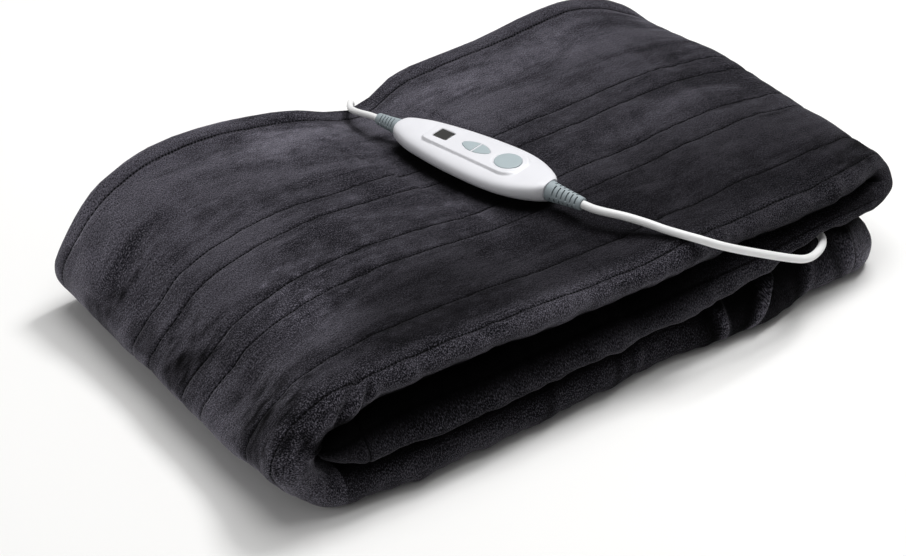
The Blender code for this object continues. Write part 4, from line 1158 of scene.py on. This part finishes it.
def window(grow, radius=1.2, steps=6):
    half_s, half_w = DISPLAY_SIZE[0] / 2 + grow, DISPLAY_SIZE[1] / 2 + grow
    r = radius + grow
    outline = []
    for cs, cw, start in ((1, -1, -90), (1, 1, 0), (-1, 1, 90), (-1, -1, 180)):
        for a in np.radians(np.linspace(start, start + 90, steps)):
            outline.append((DISPLAY_AT + cs * (half_s - r) + r * math.cos(a),
                            cw * (half_w - r) + r * math.sin(a)))
    return outline


def cushion_cap(name, outline, foot, top, crown, material):
    """Upright key with a rounded rim and a top that swells by crown in its middle."""
    outline = np.array(outline)
    middle = outline.mean(axis=0)
    reach = np.linalg.norm(outline - middle, axis=1).mean()
    rings = []
    for inset, height in ((0, foot), (0, top - 0.75), (0.06, top - 0.42), (0.22, top - 0.18),
                          (0.5, top - 0.05), (0.9, top), (reach * 0.3, top + crown * 0.45),
                          (reach * 0.55, top + crown * 0.8), (reach * 0.8, top + crown)):
        shrunk = middle + (outline - middle) * (1 - inset / reach)
        rings.append(on_housing(np.column_stack([shrunk, np.full(len(shrunk), height)])))
    return loft(name, rings, material, 50)


def make_keys():
    for name, outline, body, crown in (
            ("key_lower", half_lens(-1, 0), "lower_key", 0.15),
            ("key_raise", half_lens(1, 0), "raise_key", 0.15),
            ("key_power", disc(ROUND_KEY_AT, ROUND_KEY_RADIUS), "power_key", 0.25)):
        key = cushion_cap(name + "_cap", outline, KEY_FOOT, KEY_TOP - 0.2, crown, "key")
        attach(key, body)
        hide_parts(name)
    pane = cushion_cap("display_pane", window(0), DISPLAY_FOOT, DISPLAY_TOP, 0, "display")
    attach(pane, "pack")
    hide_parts("display")


def make_relief(name, node, end, direction, size, ribs):
    """Strain relief: a taper with rings of two slots, turned a quarter from ring to ring."""
    length, big, small = size
    collar, tip, slot_half = 4, 2.6, 39
    pitch = (length - collar - tip) / ribs
    slot = SLOT_SHARE * pitch

    def taper(x):
        return big + (small - big) * max(x / length, 0) ** 0.9

    places = [0, 0.4, collar - 0.5]
    for k in range(ribs):
        places += [collar + k * pitch + d for d in (0, 0.15, slot - 0.15, slot)]
    places += [length - tip, length - 0.6, length - 0.15, length]
    quarter = np.array([0, 12, 24, slot_half - 0.5, slot_half + 1, 45])
    quarter = np.concatenate([quarter, 90 - quarter[-2:0:-1]])
    turns = np.concatenate([quarter + 90 * k for k in range(4)])
    across, up = np.cos(np.radians(turns + 45)), np.sin(np.radians(turns + 45))
    start = end + direction * TOUCH
    rings = []
    for number, x in enumerate(places):
        plain = taper(x) - (0.35 if x < 0.3 or x > length - 0.3 else 0)
        k, corner = divmod(number - 3, 4)
        turned = (turns + 90 * (k % 2)) % 180
        sunk = (np.minimum(turned, 180 - turned) < slot_half) & (0 <= k < ribs and corner in (1, 2))
        radius = plain * np.where(sunk, SLOT_DEPTH, 1)
        rings.append(on_housing(np.stack([np.full(len(turns), start + direction * x),
                                          direction * radius * across, EXIT_HEIGHT + radius * up],
                                         axis=1)))
    relief = loft(name, rings, ("relief", "gap"), 30)
    foot, head = on_housing([(start, 0, EXIT_HEIGHT), (start + direction * length, 0, EXIT_HEIGHT)])
    line = (head - foot) / np.linalg.norm(head - foot)
    # the faces sunk in the slots get the near-black painted shade
    for face in relief.data.polygons:
        centre = np.array(face.center) / MM - foot
        x = centre @ line
        radius = np.linalg.norm(centre - line * x)
        face.material_index = int(radius < 1.1 * SLOT_DEPTH * taper(x) and collar < x < length - tip)
    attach(relief, "pack")
    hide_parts(node)


# ---------------------------------------------------------------- whole model

def main():
    make_stage()
    mains, route, mains_exit = make_cords()
    plug = make_plug()
    make_tie()
    make_blanket()
    make_housing()
    make_keys()
    make_relief("relief_near", "relief_blanket", HOUSING_SHAPE[-1, 0], 1, BLANKET_RELIEF, 12)
    make_relief("relief_far", "relief_mains", HOUSING_SHAPE[0, 0], -1, MAINS_RELIEF, 10)


main()
